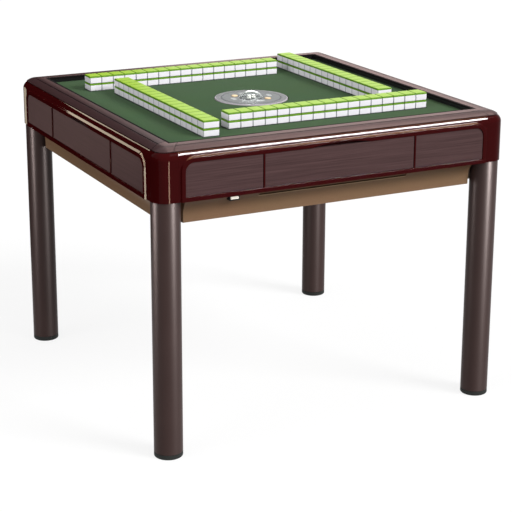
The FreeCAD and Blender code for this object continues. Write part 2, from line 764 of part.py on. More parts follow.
# Play board and its felt, with a slot for each lift tray and a round hole for the console
console_radius = size("console_radius", 96.5)
console_gap = size("console_gap", 1.5)
board_gap = size("board_gap", 2)
board_half = board_edge - board_gap


def slotted_sheet(label, z):
    sheet_box = box(label + "_sheet", (-board_half, board_half), (-board_half, board_half), z)
    cut_z = (z[0] - overrun, z[1] + overrun)
    tools = [cylinder(label + "_hole", console_radius + console_gap, ZERO, ZERO, cut_z)]
    for quarter, side in enumerate(SIDES):
        tools.append(box(label + "_slot_" + side, (tray_x[0] - slot_gap, tray_x[1] + slot_gap),
                         (tray_y[0] - slot_gap, tray_y[1] + slot_gap), cut_z, quarter))
    return node(label, cut(label, sheet_box, tools))


slotted_sheet("play_board", (board_bottom, board_top))
slotted_sheet("felt_cloth", (board_top, felt_top))

# Drawers: a panelled front on a shallow tray that runs between two grooved runners
drawer_gap = size("drawer_gap", 0.75)
runner_room = size("runner_room", 15.5)
drawer_wall = size("drawer_wall", 3)
drawer_lift = size("drawer_lift", 8)
tray_headroom = size("tray_headroom", 13)
rib_level = size("rib_level", 30)
rib_height = size("rib_height", 5)
rib_width = size("rib_width", 7)
runner_width = size("runner_width", 13)
runner_height = size("runner_height", 40)
runner_end_gap = size("runner_end_gap", 2)
tray_half = drawer_half - runner_room
tray_low = panel_bottom + drawer_lift
tray_high = panel_top - tray_headroom
rib_z = (tray_low + rib_level, tray_low + rib_level + rib_height)
runner_middle = (rib_z[0] + rib_z[1]) / 2
runner_x = (tray_half + slide_gap, tray_half + slide_gap + runner_width)
runner_y = (-apron_inside, -(tray_inner_end + runner_end_gap))
runner_z = (runner_middle - runner_height / 2, runner_middle + runner_height / 2)


def both_sides(limits):
    """A pair of limits and its mirror image."""
    return limits, (-limits[1], -limits[0])


runners = []
for quarter, side in enumerate(SIDES):
    front_x = (drawer_gap - drawer_half, drawer_half - drawer_gap)
    front_z = (panel_bottom + drawer_gap, panel_top - drawer_gap)
    front_y = (-panel_face, -front_back)
    node("drawer_front_" + side, box("drawer_front_" + side, front_x, front_y, front_z, quarter))
    shell = box("tray_shell_" + side, (-tray_half, tray_half), (-front_back, -tray_inner_end),
                (tray_low, tray_high), quarter)
    inside = box("tray_inside_" + side, (drawer_wall - tray_half, tray_half - drawer_wall),
                 (drawer_wall - front_back, -(tray_inner_end + drawer_wall)),
                 (tray_low + drawer_wall, tray_high + overrun), quarter)
    tray_parts = [cut("tray_box_" + side, shell, [inside])]
    for hand, rib_x in enumerate(both_sides((tray_half, tray_half + rib_width))):
        tray_parts.append(box("tray_rib_" + side + str(hand), rib_x, (-apron_inside, -tray_inner_end),
                              rib_z, quarter))
    node("drawer_tray_" + side, fuse("drawer_tray_" + side, tray_parts))
    groove = (runner_x[0] - overrun, tray_half + rib_width + slide_gap)
    for hand, (bar_x, groove_x) in enumerate(zip(both_sides(runner_x), both_sides(groove))):
        name = side + str(hand)
        bar = box("runner_bar_" + name, bar_x, runner_y, runner_z, quarter)
        track = box("runner_track_" + name, groove_x, (runner_y[0] - overrun, runner_y[1] + overrun),
                    (rib_z[0] - slide_gap, rib_z[1] + slide_gap), quarter)
        runners.append(cut("runner_" + name, bar, [track]))
group("drawer_runners", runners)

# Console: a round plate with a ring, on a stem that slides in the centre column
console_proud = size("console_proud", 2)
ring_drop = size("ring_drop", 0.5)
ring_width = size("ring_width", 17)
plate_thickness = size("plate_thickness", 7)
plate_flange = size("plate_flange", 6)
ring_fit = size("ring_fit", 0.3)
ring_bevel = size("ring_bevel", 1.5)
stem_flange_radius = size("stem_flange_radius", 40)
stem_flange = size("stem_flange", 6)
stem_collar_radius = size("stem_collar_radius", 22)
stem_collar = size("stem_collar", 17)
stem_radius = size("stem_radius", 16)
stem_length = size("stem_length", 92)
column_radius = size("column_radius", 24)
column_foot_radius = size("column_foot_radius", 60)
column_foot = size("column_foot", 6)
column_bearing_radius = size("column_bearing_radius", 34)
column_bearing_height = size("column_bearing_height", 8)
column_bearing_level = size("column_bearing_level", 64)
plate_radius = console_radius - ring_width
console_top = felt_top + console_proud
shoulder = console_top - plate_thickness
flange_bottom = shoulder - plate_flange
column_top = flange_bottom - stem_flange - stem_collar
bearing_top = floor_top + column_bearing_level

# Items set into the console
button_radius = size("button_radius", 8.5)
button_margin = size("button_margin", 4.5)
button_proud = size("button_proud", 2)
button_height = size("button_height", 6)
button_travel = size("button_travel", 1.5)
button_crown = size("button_crown", 1)
button_gap = size("button_gap", 0.4)
lamp_margin = size("lamp_margin", 12)
lamp_half = size("lamp_half", 12)
lamp_radius = size("lamp_radius", 7)
lamp_depth = size("lamp_depth", 3)
lamp_proud = size("lamp_proud", 0.5)
dome_radius = size("dome_radius", 33)
dome_rise = size("dome_rise", 17)
dome_wall = size("dome_wall", 2)
dice_rim = size("dice_rim", 4)
dice_plate_thickness = size("dice_plate_thickness", 2)
dice_plate_drop = size("dice_plate_drop", 2.5)
dice_well_gap = size("dice_well_gap", 1)
dice_pin_radius = size("dice_pin_radius", 3)
dice_pin_length = size("dice_pin_length", 4)
die_edge = size("die_edge", 9)
die_spread = size("die_spread", 6.5)
button_shares = (-1 / math.sqrt(2), 1 / math.sqrt(2))
button_place = dome_radius + button_radius + button_margin
lamp_place = dome_radius + lamp_radius + lamp_margin
dice_plate_radius = dome_radius - dice_rim
dice_plate_top = console_top - dice_plate_drop
dice_plate_low = dice_plate_top - dice_plate_thickness
well_floor = dice_plate_low - slide_gap
button_floor = console_top + button_proud - button_height - button_travel - slide_gap


def lamp_outline(gap):
    """A pad with round ends that lies across the +X direction."""
    inner, outer = lamp_place - lamp_radius + gap, lamp_place + lamp_radius - gap
    end = lamp_half - lamp_radius
    return [(inner, -end), (outer, -end, lamp_place, -end, 1), (outer, end), (inner, end, lamp_place, end, 1)]


def turned_outline(corners, quarter):
    """An outline after quarter turns about the sketch's origin."""
    result = []
    for corner in corners:
        point = turned(corner[0], corner[1], quarter)
        if len(corner) > 2:
            point += turned(corner[2], corner[3], quarter) + (corner[4],)
        result.append(point)
    return result


flange_radius = console_radius - ring_bevel
plate = turned_piece("console_plate", [
    (ZERO, flange_bottom), (flange_radius, flange_bottom), (flange_radius, shoulder),
    (plate_radius, shoulder), (plate_radius, console_top), (ZERO, console_top)])
section = sketch_on(plate, "plate_dice_well", "XY_Plane", console_top)
circle_at(section, ZERO, ZERO, dice_plate_radius + dice_well_gap)
extrude(plate, "Pocket", section, console_top - well_floor)
section = sketch_on(plate, "plate_pin_hole", "XY_Plane", console_top)
circle_at(section, ZERO, ZERO, dice_pin_radius + slide_gap)
extrude(plate, "Pocket", section, console_top - well_floor + dice_pin_length)
section = sketch_on(plate, "plate_button_wells", "XY_Plane", console_top)
for share in button_shares:
    circle_at(section, button_place * -share, button_place * share, button_radius + button_gap)
extrude(plate, "Pocket", section, console_top - button_floor)
section = sketch_on(plate, "plate_lamp_beds", "XY_Plane", console_top)
for quarter in range(4):
    outline(section, turned_outline(lamp_outline(ZERO), quarter))
extrude(plate, "Pocket", section, lamp_depth)
node("console_plate", plate)

ring_top = console_top - ring_drop
ring_inner = plate_radius + ring_fit
node("console_ring", turned_piece("console_ring", [
    (ring_inner, shoulder), (console_radius, shoulder), (console_radius, ring_top - ring_bevel),
    (flange_radius, ring_top), (ring_inner, ring_top)]))
node("console_stem", turned_piece("console_stem", [
    (ZERO, column_top - stem_length), (stem_radius, column_top - stem_length), (stem_radius, column_top),
    (stem_collar_radius, column_top), (stem_collar_radius, flange_bottom - stem_flange),
    (stem_flange_radius, flange_bottom - stem_flange), (stem_flange_radius, flange_bottom),
    (ZERO, flange_bottom)]))

for letter, share in zip("ab", button_shares):
    top = console_top + button_proud
    button = turned_piece("dice_button_" + letter, [
        (ZERO, top - button_height), (button_radius, top - button_height),
        (button_radius, top - button_crown), (button_radius - button_crown, top), (ZERO, top)])
    node("dice_button_" + letter, place(button, 0, button_place * -share, button_place * share))

lamps = []
for quarter, side in enumerate(SIDES):
    lamp = new_body("lamp_" + side)
    section = sketch_on(lamp, "lamp_plan_" + side, "XY_Plane", console_top - lamp_depth)
    outline(section, lamp_outline(slide_gap))
    extrude(lamp, "Pad", section, lamp_depth + lamp_proud)
    lamps.append(place(lamp, quarter))
group("seat_lamps", lamps)

dome_arc = (dome_radius * dome_radius + dome_rise * dome_rise) / (dome_rise * 2)
dome_centre = console_top + dome_rise - dome_arc
dome_inside = chord(dome_arc - dome_wall, dome_centre - console_top)
node("dice_dome", turned_piece("dice_dome", [
    (dome_radius, console_top), (ZERO, console_top + dome_rise, ZERO, dome_centre, 1),
    (ZERO, console_top + dome_rise - dome_wall),
    (dome_inside, console_top, ZERO, dome_centre, -1)]))
node("dice_plate", turned_piece("dice_plate", [
    (ZERO, dice_plate_low - dice_pin_length), (dice_pin_radius, dice_plate_low - dice_pin_length),
    (dice_pin_radius, dice_plate_low), (dice_plate_radius, dice_plate_low),
    (dice_plate_radius, dice_plate_top), (ZERO, dice_plate_top)]))
dice = []
for index, sign in enumerate((1, -1)):
    middle = die_spread * sign
    dice.append(box("die_" + str(index), (middle - die_edge / 2, middle + die_edge / 2),
                    (-die_edge / 2, die_edge / 2), (dice_plate_top, dice_plate_top + die_edge)))
group("dice", dice)

# Centre column, shuffling turntable and its friction drive
track_width = size("track_width", 18)
track_gap = size("track_gap", 3)
track_thickness = size("track_thickness", 4)
turntable_gap = size("turntable_gap", 5)
turntable_wall = size("turntable_wall", 4)
turntable_floor = size("turntable_floor", 4)
turntable_side = size("turntable_side", 44)
turntable_hub_radius = size("turntable_hub_radius", 38)
turntable_hub_height = size("turntable_hub_height", 20)
turntable_cone_radius = size("turntable_cone_radius", 110)
drive_wheel_radius = size("drive_wheel_radius", 25)
drive_wheel_height = size("drive_wheel_height", 16)
drive_wheel_lift = size("drive_wheel_lift", 12)
motor_radius = size("motor_radius", 28)
motor_gap = size("motor_gap", 4)
motor_shaft_radius = size("motor_shaft_radius", 4)
motor_shaft_depth = size("motor_shaft_depth", 12)
track_outer = wall_inside - tray_margin - track_gap
track_inner = track_outer - track_width
turntable_radius = track_inner - turntable_gap
hub_low = bearing_top + slide_gap
dish_top = hub_low + turntable_floor
node("centre_column", turned_piece("centre_column", [
    (ZERO, floor_top), (column_foot_radius, floor_top), (column_foot_radius, floor_top + column_foot),
    (column_radius, floor_top + column_foot), (column_radius, bearing_top - column_bearing_height),
    (column_bearing_radius, bearing_top - column_bearing_height), (column_bearing_radius, bearing_top),
    (column_radius, bearing_top), (column_radius, column_top), (stem_radius + slide_gap, column_top),
    (stem_radius + slide_gap, floor_top + column_foot), (ZERO, floor_top + column_foot)]))
dish_radius = turntable_radius - turntable_wall
hub_bore = column_radius + slide_gap
node("shuffle_turntable", turned_piece("shuffle_turntable", [
    (hub_bore, hub_low), (turntable_radius, hub_low), (turntable_radius, hub_low + turntable_side),
    (dish_radius, hub_low + turntable_side), (dish_radius, dish_top), (turntable_cone_radius, dish_top),
    (turntable_hub_radius, hub_low + turntable_hub_height), (hub_bore, hub_low + turntable_hub_height)]))
drive_share = 1 / math.sqrt(2)
drive_place = (turntable_radius + slide_gap + drive_wheel_radius) * drive_share
motor_top = hub_low - motor_gap
wheel_low = motor_top + drive_wheel_lift
motor = turned_piece("drive_motor", [
    (motor_shaft_radius + slide_gap, motor_top - motor_shaft_depth - slide_gap),
    (motor_shaft_radius + slide_gap, motor_top), (motor_radius, motor_top), (motor_radius, floor_top),
    (ZERO, floor_top), (ZERO, motor_top - motor_shaft_depth - slide_gap)])
node("drive_motor", place(motor, 0, drive_place, drive_place))
wheel = turned_piece("drive_wheel", [
    (ZERO, motor_top - motor_shaft_depth), (motor_shaft_radius, motor_top - motor_shaft_depth),
    (motor_shaft_radius, wheel_low), (drive_wheel_radius, wheel_low),
    (drive_wheel_radius, wheel_low + drive_wheel_height), (ZERO, wheel_low + drive_wheel_height)])
node("drive_wheel", place(wheel, 0, drive_place, drive_place))

# Tile tracks: the shelves that lead tiles from the turntable's edge to the lowered lift trays
track_top = felt_top - lift_travel
track_low = track_top - track_thickness
track_x = (wall_start, wall_end)
track_y = (-track_outer, -track_inner)
tracks = []
for quarter, side in enumerate(SIDES):
    track_parts = [box("track_shelf_" + side, track_x, track_y, (track_low, track_top), quarter)]
    for index, offset in enumerate((-guide_spread, guide_spread)):
        post_x = (wall_middle + offset - track_width / 2, wall_middle + offset + track_width / 2)
        post = box("track_post_" + side + str(index), post_x, track_y, (floor_top, track_low), quarter)
        track_parts.append(post)
    tracks.append(fuse("track_" + side, track_parts))
group("tile_tracks", tracks)

# Control box on the tub's floor, beside the gland
control_length = size("control_length", 130)
control_width = size("control_width", 90)
control_height = size("control_height", 45)
control_gap = size("control_gap", 28)
control_wall_gap = size("control_wall_gap", 10)
control_x = gland_x - gland_flange_radius - control_gap
control_y = tub_foot_half - tub_wall - control_wall_gap
node("control_box", box("control_box", (control_x - control_length, control_x),
                        (control_y - control_width, control_y), (floor_top, floor_top + control_height)))

doc.recompute()
for item in doc.Objects:
    if "Invalid" in item.State or "Error" in item.State:
        raise RuntimeError(item.Label + " failed: " + ", ".join(item.State))
for label, item in nodes.items():
    if item.Shape.isNull() or not item.Shape.isValid():
        raise RuntimeError(label + " has no valid shape")

os.makedirs("parts", exist_ok=True)
for label, item in nodes.items():
    item.Shape.exportStep("parts/" + label + ".step")
print(len(nodes), "nodes written")
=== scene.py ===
import math

import bpy
from mathutils import Matrix, Vector


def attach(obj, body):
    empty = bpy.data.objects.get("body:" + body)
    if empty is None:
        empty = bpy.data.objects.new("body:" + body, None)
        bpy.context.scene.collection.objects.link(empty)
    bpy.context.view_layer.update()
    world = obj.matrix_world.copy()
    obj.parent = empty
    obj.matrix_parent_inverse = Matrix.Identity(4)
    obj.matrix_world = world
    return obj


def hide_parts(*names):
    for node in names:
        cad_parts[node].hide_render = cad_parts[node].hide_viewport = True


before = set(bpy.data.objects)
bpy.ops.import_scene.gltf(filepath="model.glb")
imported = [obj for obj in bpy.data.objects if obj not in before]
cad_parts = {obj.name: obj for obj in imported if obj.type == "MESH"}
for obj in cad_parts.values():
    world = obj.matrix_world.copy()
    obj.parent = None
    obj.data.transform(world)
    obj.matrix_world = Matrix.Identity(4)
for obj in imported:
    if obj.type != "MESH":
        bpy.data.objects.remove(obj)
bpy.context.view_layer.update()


# Feet: a black rubber puck under each leg, 70 mm across, pressed into the tube on a plug.
# The moulded edge is rounded, and the rubber is dull with a fine grain.
def skin_of(node, name):
    """A copy of a node's mesh as one closed skin of flat faces, alone in the selection."""
    bpy.ops.object.select_all(action="DESELECT")
    piece = bpy.data.objects.new(name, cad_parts[node].data.copy())
    bpy.context.scene.collection.objects.link(piece)
    bpy.context.view_layer.objects.active = piece
    piece.select_set(True)
    piece.data.materials.clear()
    bpy.ops.object.mode_set(mode="EDIT")
    bpy.ops.mesh.select_all(action="SELECT")
    bpy.ops.mesh.customdata_custom_splitnormals_clear()
    bpy.ops.mesh.remove_doubles(threshold=0.00002)
    bpy.ops.mesh.tris_convert_to_quads(face_threshold=math.radians(1), shape_threshold=math.radians(170))
    bpy.ops.object.mode_set(mode="OBJECT")
    return piece


def round_edges(piece, width, segments=2, sharpness=30, where=None):
    """Rounds a piece's sharp edges, or those of them whose middle passes a test, and smooths its shading."""
    bpy.ops.object.select_all(action="DESELECT")
    piece.select_set(True)
    bpy.context.view_layer.objects.active = piece
    bpy.ops.object.mode_set(mode="EDIT")
    bpy.ops.mesh.select_mode(type="EDGE")
    bpy.ops.mesh.select_all(action="DESELECT")
    bpy.ops.mesh.edges_select_sharp(sharpness=math.radians(sharpness))
    if where:
        bpy.ops.object.mode_set(mode="OBJECT")
        points = piece.data.vertices
        for edge in piece.data.edges:
            if edge.select:
                start, end = (points[index].co for index in edge.vertices)
                edge.select = bool(where((start + end) / 2))
        bpy.ops.object.mode_set(mode="EDIT")
    bpy.ops.mesh.bevel(offset=width, segments=segments, affect="EDGES")
    bpy.ops.object.mode_set(mode="OBJECT")
    bpy.ops.object.shade_smooth_by_angle(angle=math.radians(35))
    shading = piece.modifiers.new("face_shading", "WEIGHTED_NORMAL")
    shading.keep_sharp = True
    bpy.ops.object.modifier_apply(modifier=shading.name)


def colour(code):
    """The linear colour that a shader socket takes for an sRGB hex colour."""
    channels = [int(code[place:place + 2], 16) / 255 for place in (1, 3, 5)]
    return [c / 12.92 if c <= 0.04045 else ((c + 0.055) / 1.055) ** 2.4 for c in channels] + [1.0]


def add_node(material, kind, options=None, values=None, links=None):
    """Adds a shader node, sets its options and sockets, and links what feeds it."""
    made = material.node_tree.nodes.new(kind)
    for name, value in (options or {}).items():
        setattr(made, name, value)
    for name, value in (values or {}).items():
        made.inputs[name].default_value = value
    for name, source in (links or {}).items():
        material.node_tree.links.new(source, made.inputs[name])
    return made


def new_finish(name, **sockets):
    """A material with the given values on its surface shader's sockets, and that shader."""
    material = bpy.data.materials.new(name)
    material.use_nodes = True
    surface = material.node_tree.nodes["Principled BSDF"]
    for socket, value in sockets.items():
        surface.inputs[socket.replace("_", " ")].default_value = value
    return material, surface


moulded_rubber, surface = new_finish("moulded_rubber", Roughness=0.7)
surface.inputs["Specular IOR Level"].default_value = 0.3
place = add_node(moulded_rubber, "ShaderNodeTexCoord")
# the grain of the mould is about 0.3 mm, drawn at 2 mm so that it shows
grain = add_node(moulded_rubber, "ShaderNodeTexNoise", values={"Scale": 1 / 0.002, "Detail": 3.0},
                 links={"Vector": place.outputs["Object"]})
shade = add_node(moulded_rubber, "ShaderNodeMix", {"data_type": "RGBA"},
                 {6: colour("#1c1e1d"), 7: colour("#2b2d2b")}, {0: grain.outputs["Fac"]})
relief = add_node(moulded_rubber, "ShaderNodeBump", values={"Strength": 0.2, "Distance": 0.0003},
                  links={"Height": grain.outputs["Fac"]})
moulded_rubber.node_tree.links.new(shade.outputs[2], surface.inputs["Base Color"])
moulded_rubber.node_tree.links.new(relief.outputs["Normal"], surface.inputs["Normal"])

feet = skin_of("leg_feet", "rubber_feet")
round_edges(feet, 0.0012, 3)
feet.data.materials.append(moulded_rubber)
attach(feet, "chassis")
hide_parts("leg_feet")


# Legs: four steel tubes, 70 mm across, let up into the corners of the frame and bolted to spigots there.
# They are powder coated in a satin bronze grey, which shows soft upright highlights.
leg_radius = 0.035
leg_bottom = 0.012
leg_top = 0.725
leg_place = 0.4385
leg_names = ("front_left", "front_right", "back_right", "back_left")

powder_coat, surface = new_finish("satin_powder_coat", Roughness=0.36)
surface.inputs["Specular IOR Level"].default_value = 0.08
place = add_node(powder_coat, "ShaderNodeTexCoord")
# powder coat has an orange peel of 1 to 2 mm
peel = add_node(powder_coat, "ShaderNodeTexNoise", values={"Scale": 1 / 0.0018, "Detail": 2.0},
                links={"Vector": place.outputs["Object"]})
cloud = add_node(powder_coat, "ShaderNodeTexNoise", values={"Scale": 1 / 0.12, "Detail": 2.0},
                 links={"Vector": place.outputs["Object"]})
shade = add_node(powder_coat, "ShaderNodeMix", {"data_type": "RGBA"},
                 {6: colour("#372927"), 7: colour("#3f302e")}, {0: cloud.outputs["Fac"]})
relief = add_node(powder_coat, "ShaderNodeBump", values={"Strength": 0.08, "Distance": 0.0002},
                  links={"Height": peel.outputs["Fac"]})
powder_coat.node_tree.links.new(shade.outputs[2], surface.inputs["Base Color"])
powder_coat.node_tree.links.new(relief.outputs["Normal"], surface.inputs["Normal"])


def turned_copy(piece, name, quarter):
    """A copy of a piece with its own mesh, turned by quarter turns about the table's middle."""
    copy = bpy.data.objects.new(name, piece.data.copy())
    copy.data.transform(Matrix.Rotation(math.radians(90 * quarter), 4, "Z"))
    bpy.context.scene.collection.objects.link(copy)
    return copy


bpy.ops.object.select_all(action="DESELECT")
bpy.ops.mesh.primitive_cylinder_add(
    vertices=96, radius=leg_radius, depth=leg_top - leg_bottom,
    location=(-leg_place, -leg_place, (leg_top + leg_bottom) / 2))
first_leg = bpy.context.object
first_leg.name = "leg_tube_front_left"
bpy.ops.object.transform_apply(location=True)
round_edges(first_leg, 0.0015, 3, sharpness=60)
leg_group = bpy.data.collections.new("leg_tubes")
first_leg.data.materials.append(powder_coat)
for quarter, corner in enumerate(leg_names):
    leg = turned_copy(first_leg, "leg_tube_" + corner, quarter) if quarter else first_leg
    leg_group.objects.link(leg)
    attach(leg, "chassis")
    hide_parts("leg_" + corner)


# Tub: a moulded ABS pan that closes the table from below, with a cove all round, notches for the legs
# and a finger grip in each side. It is painted bronze with a fine satin grain.
grip_half = 0.202
grip_ledge = 0.6165

bronze_paint, surface = new_finish("satin_bronze_paint", Roughness=0.42)
surface.inputs["Specular IOR Level"].default_value = 0.15
place = add_node(bronze_paint, "ShaderNodeTexCoord")
# metal flakes of the paint are under 0.1 mm, drawn at 1.5 mm so that they show
flake = add_node(bronze_paint, "ShaderNodeTexNoise", values={"Scale": 1 / 0.0015, "Detail": 2.0},
                 links={"Vector": place.outputs["Object"]})
cloud = add_node(bronze_paint, "ShaderNodeTexNoise", values={"Scale": 1 / 0.2, "Detail": 2.0},
                 links={"Vector": place.outputs["Object"]})
flecks = add_node(bronze_paint, "ShaderNodeMix", {"data_type": "RGBA"},
                  {6: colour("#775c44"), 7: colour("#866951")}, {0: flake.outputs["Fac"]})
mottle = add_node(bronze_paint, "ShaderNodeMix", {"data_type": "RGBA", "blend_type": "MULTIPLY"},
                  {0: 0.12}, {6: flecks.outputs[2], 7: cloud.outputs["Color"]})
# painted shade darkens the corner of each finger grip, and a painted highlight lightens the edge of the ledge
# below it
split = add_node(bronze_paint, "ShaderNodeSeparateXYZ", links={"Vector": place.outputs["Object"]})
across = add_node(bronze_paint, "ShaderNodeMath", {"operation": "ABSOLUTE"}, links={0: split.outputs["X"]})
away = add_node(bronze_paint, "ShaderNodeMath", {"operation": "ABSOLUTE"}, links={0: split.outputs["Y"]})
along = add_node(bronze_paint, "ShaderNodeMath", {"operation": "MINIMUM"},
                 links={0: across.outputs["Value"], 1: away.outputs["Value"]})
inside = add_node(bronze_paint, "ShaderNodeMath", {"operation": "LESS_THAN"}, {1: grip_half},
                  {0: along.outputs["Value"]})
grip_painted_light = [mottle.outputs[2]]
for level, half, code in ((grip_ledge + 0.0014, 0.0014, "#3f2f22"), (grip_ledge - 0.0010, 0.0009, "#b89a76")):
    near = add_node(bronze_paint, "ShaderNodeMath", {"operation": "COMPARE"}, {1: level, 2: half},
                    {0: split.outputs["Z"]})
    line = add_node(bronze_paint, "ShaderNodeMath", {"operation": "MULTIPLY"},
                    links={0: near.outputs["Value"], 1: inside.outputs["Value"]})
    grip_painted_mix = add_node(bronze_paint, "ShaderNodeMix", {"data_type": "RGBA"}, {7: colour(code)},
                     {0: line.outputs["Value"], 6: grip_painted_light[-1]})
    grip_painted_light.append(grip_painted_mix.outputs[2])
bronze_paint.node_tree.links.new(grip_painted_light[-1], surface.inputs["Base Color"])

tub = skin_of("base_tub", "tub_shell")
round_edges(tub, 0.0008, 2)
tub.data.materials.append(bronze_paint)
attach(tub, "chassis")
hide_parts("base_tub")


# Power switch: a black nylon bezel let into the cove at the left of the front, with a white rocker
# that tilts in it. Under the tub a black nylon gland takes the mains lead.
black_nylon, surface = new_finish("black_nylon", Roughness=0.5)
surface.inputs["Specular IOR Level"].default_value = 0.3
place = add_node(black_nylon, "ShaderNodeTexCoord")
# spark-eroded mould texture of about 0.5 mm, drawn at 1 mm
spark = add_node(black_nylon, "ShaderNodeTexNoise", values={"Scale": 1 / 0.001, "Detail": 2.0},
                 links={"Vector": place.outputs["Object"]})
shade = add_node(black_nylon, "ShaderNodeMix", {"data_type": "RGBA"},
                 {6: colour("#0b0b0c"), 7: colour("#161617")}, {0: spark.outputs["Fac"]})
black_nylon.node_tree.links.new(shade.outputs[2], surface.inputs["Base Color"])

for node, name in (("switch_bezel", "switch_surround"), ("cord_gland", "lead_gland")):
    piece = skin_of(node, name)
    round_edges(piece, 0.0005, 2)
    piece.data.materials.append(black_nylon)
    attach(piece, "chassis")
    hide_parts(node)

white_urea, surface = new_finish("white_urea", Roughness=0.3)
place = add_node(white_urea, "ShaderNodeTexCoord")
handling = add_node(white_urea, "ShaderNodeTexNoise", values={"Scale": 1 / 0.004, "Detail": 2.0},
                    links={"Vector": place.outputs["Object"]})
shade = add_node(white_urea, "ShaderNodeMix", {"data_type": "RGBA"},
                 {6: colour("#dcdad2"), 7: colour("#efeee8")}, {0: handling.outputs["Fac"]})
white_urea.node_tree.links.new(shade.outputs[2], surface.inputs["Base Color"])

# the rocker gets a painted glow, an emission that brightens it in the shade under the frame; there is no lamp
# in it
rocker_painted_glow = white_urea.copy()
rocker_painted_glow.name = "white_rocker_painted_glow"
glow = rocker_painted_glow.node_tree.nodes["Principled BSDF"]
glow.inputs["Emission Color"].default_value = colour("#fff6e6")
glow.inputs["Emission Strength"].default_value = 0.6

rocker = skin_of("power_rocker", "switch_rocker")
round_edges(rocker, 0.0004, 2)
rocker.data.materials.append(rocker_painted_glow)
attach(rocker, "rocker")
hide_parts("power_rocker")


# Frame: four moulded aprons and four rounded corner posts in deep maroon lacquer, polished to a high gloss.
# The upper edge is rolled, and each apron has a raised field whose sloped shoulders catch the lamps.
# only the edges that show are rounded, outside these planes and above the frame's bottom
field_face = 0.4735
field_end = 0.4185
post_face = 0.4605
frame_bottom = 0.634

maroon_lacquer, surface = new_finish("polished_maroon_lacquer")
surface.inputs["Specular IOR Level"].default_value = 0.03
place = add_node(maroon_lacquer, "ShaderNodeTexCoord")
# pigment drifts in clouds of about 80 mm under the clear coat
cloud = add_node(maroon_lacquer, "ShaderNodeTexNoise", values={"Scale": 1 / 0.08, "Detail": 2.0},
                 links={"Vector": place.outputs["Object"]})
shade = add_node(maroon_lacquer, "ShaderNodeMix", {"data_type": "RGBA"},
                 {6: colour("#310607"), 7: colour("#380809")}, {0: cloud.outputs["Fac"]})
# fine wiping marks, about 6 mm apart
wipe = add_node(maroon_lacquer, "ShaderNodeTexNoise", values={"Scale": 1 / 0.006, "Detail": 3.0},
                links={"Vector": place.outputs["Object"]})
polish = add_node(maroon_lacquer, "ShaderNodeMapRange", values={"To Min": 0.03, "To Max": 0.05},
                  links={"Value": wipe.outputs["Fac"]})
maroon_lacquer.node_tree.links.new(shade.outputs[2], surface.inputs["Base Color"])
maroon_lacquer.node_tree.links.new(polish.outputs["Result"], surface.inputs["Roughness"])


def pick_points(piece, test):
    """Selects a piece's vertices by their place and opens it for editing."""
    bpy.ops.object.select_all(action="DESELECT")
    piece.select_set(True)
    bpy.context.view_layer.objects.active = piece
    bpy.ops.object.mode_set(mode="EDIT")
    bpy.ops.mesh.select_mode(type="VERT")
    bpy.ops.mesh.select_all(action="DESELECT")
    bpy.ops.object.mode_set(mode="OBJECT")
    for point in piece.data.vertices:
        point.select = bool(test(point.co))
    bpy.ops.object.mode_set(mode="EDIT")


sides = ("front", "right", "back", "left")
apron_group = bpy.data.collections.new("lacquered_aprons")
left_group = bpy.data.collections.new("left_lacquered_apron")
first_apron = skin_of("apron_front", "front_apron")
round_edges(first_apron, 0.0005, 2, sharpness=20,
            where=lambda point: point.y < -field_face and abs(point.x) < field_end and point.z > frame_bottom)
first_apron.data.materials.append(maroon_lacquer)
for quarter, side in enumerate(sides):
    apron = turned_copy(first_apron, side + "_apron", quarter) if quarter else first_apron
    apron_group.objects.link(apron)
    if side == "left":
        left_group.objects.link(apron)
    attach(apron, "chassis")
    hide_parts("apron_" + side)

post_group = bpy.data.collections.new("lacquered_posts")
posts = skin_of("corner_posts", "rounded_corners")
round_edges(posts, 0.0005, 2, sharpness=40,
            where=lambda point: max(abs(point.x), abs(point.y)) > post_face and point.z > frame_bottom)
posts.data.materials.append(maroon_lacquer)
post_group.objects.link(posts)
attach(posts, "chassis")
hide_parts("corner_posts")


# Panels and drawer fronts: plates with a brushed plum film, set in the field of each apron.
# The brushing runs along the side, and the cut edge catches a thin line of light.
brushed_film, surface = new_finish("brushed_plum_film")
surface.inputs["Specular IOR Level"].default_value = 0.12
place = add_node(brushed_film, "ShaderNodeTexCoord")
# the hairlines are 0.3 mm apart and about 200 mm long, drawn 3 mm apart so that they show
along = add_node(brushed_film, "ShaderNodeMapping", values={"Scale": (1 / 0.2, 1 / 0.2, 1 / 0.003)},
                 links={"Vector": place.outputs["Object"]})
hairline = add_node(brushed_film, "ShaderNodeTexNoise",
                    values={"Scale": 1.0, "Detail": 4.0, "Roughness": 0.65},
                    links={"Vector": along.outputs["Vector"]})
shade = add_node(brushed_film, "ShaderNodeMix", {"data_type": "RGBA"},
                 {6: colour("#261616"), 7: colour("#5c4545")}, {0: hairline.outputs["Fac"]})
sheen = add_node(brushed_film, "ShaderNodeMapRange", values={"To Min": 0.28, "To Max": 0.46},
                 links={"Value": hairline.outputs["Fac"]})
relief = add_node(brushed_film, "ShaderNodeBump", values={"Strength": 0.1, "Distance": 0.0002},
                  links={"Height": hairline.outputs["Fac"]})
brushed_film.node_tree.links.new(shade.outputs[2], surface.inputs["Base Color"])
brushed_film.node_tree.links.new(sheen.outputs["Result"], surface.inputs["Roughness"])
brushed_film.node_tree.links.new(relief.outputs["Normal"], surface.inputs["Normal"])

panel_group = bpy.data.collections.new("brushed_panels")
panels = skin_of("fixed_panels", "side_panels")
round_edges(panels, 0.0007, 2)
panels.data.materials.append(brushed_film)
panel_group.objects.link(panels)
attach(panels, "chassis")
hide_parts("fixed_panels")

first_front = skin_of("drawer_front_front", "front_drawer_face")
round_edges(first_front, 0.0007, 2)
first_front.data.materials.append(brushed_film)
for quarter, side in enumerate(sides):
    face = turned_copy(first_front, side + "_drawer_face", quarter) if quarter else first_front
    panel_group.objects.link(face)
    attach(face, side + "_drawer")
    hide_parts("drawer_front_" + side)


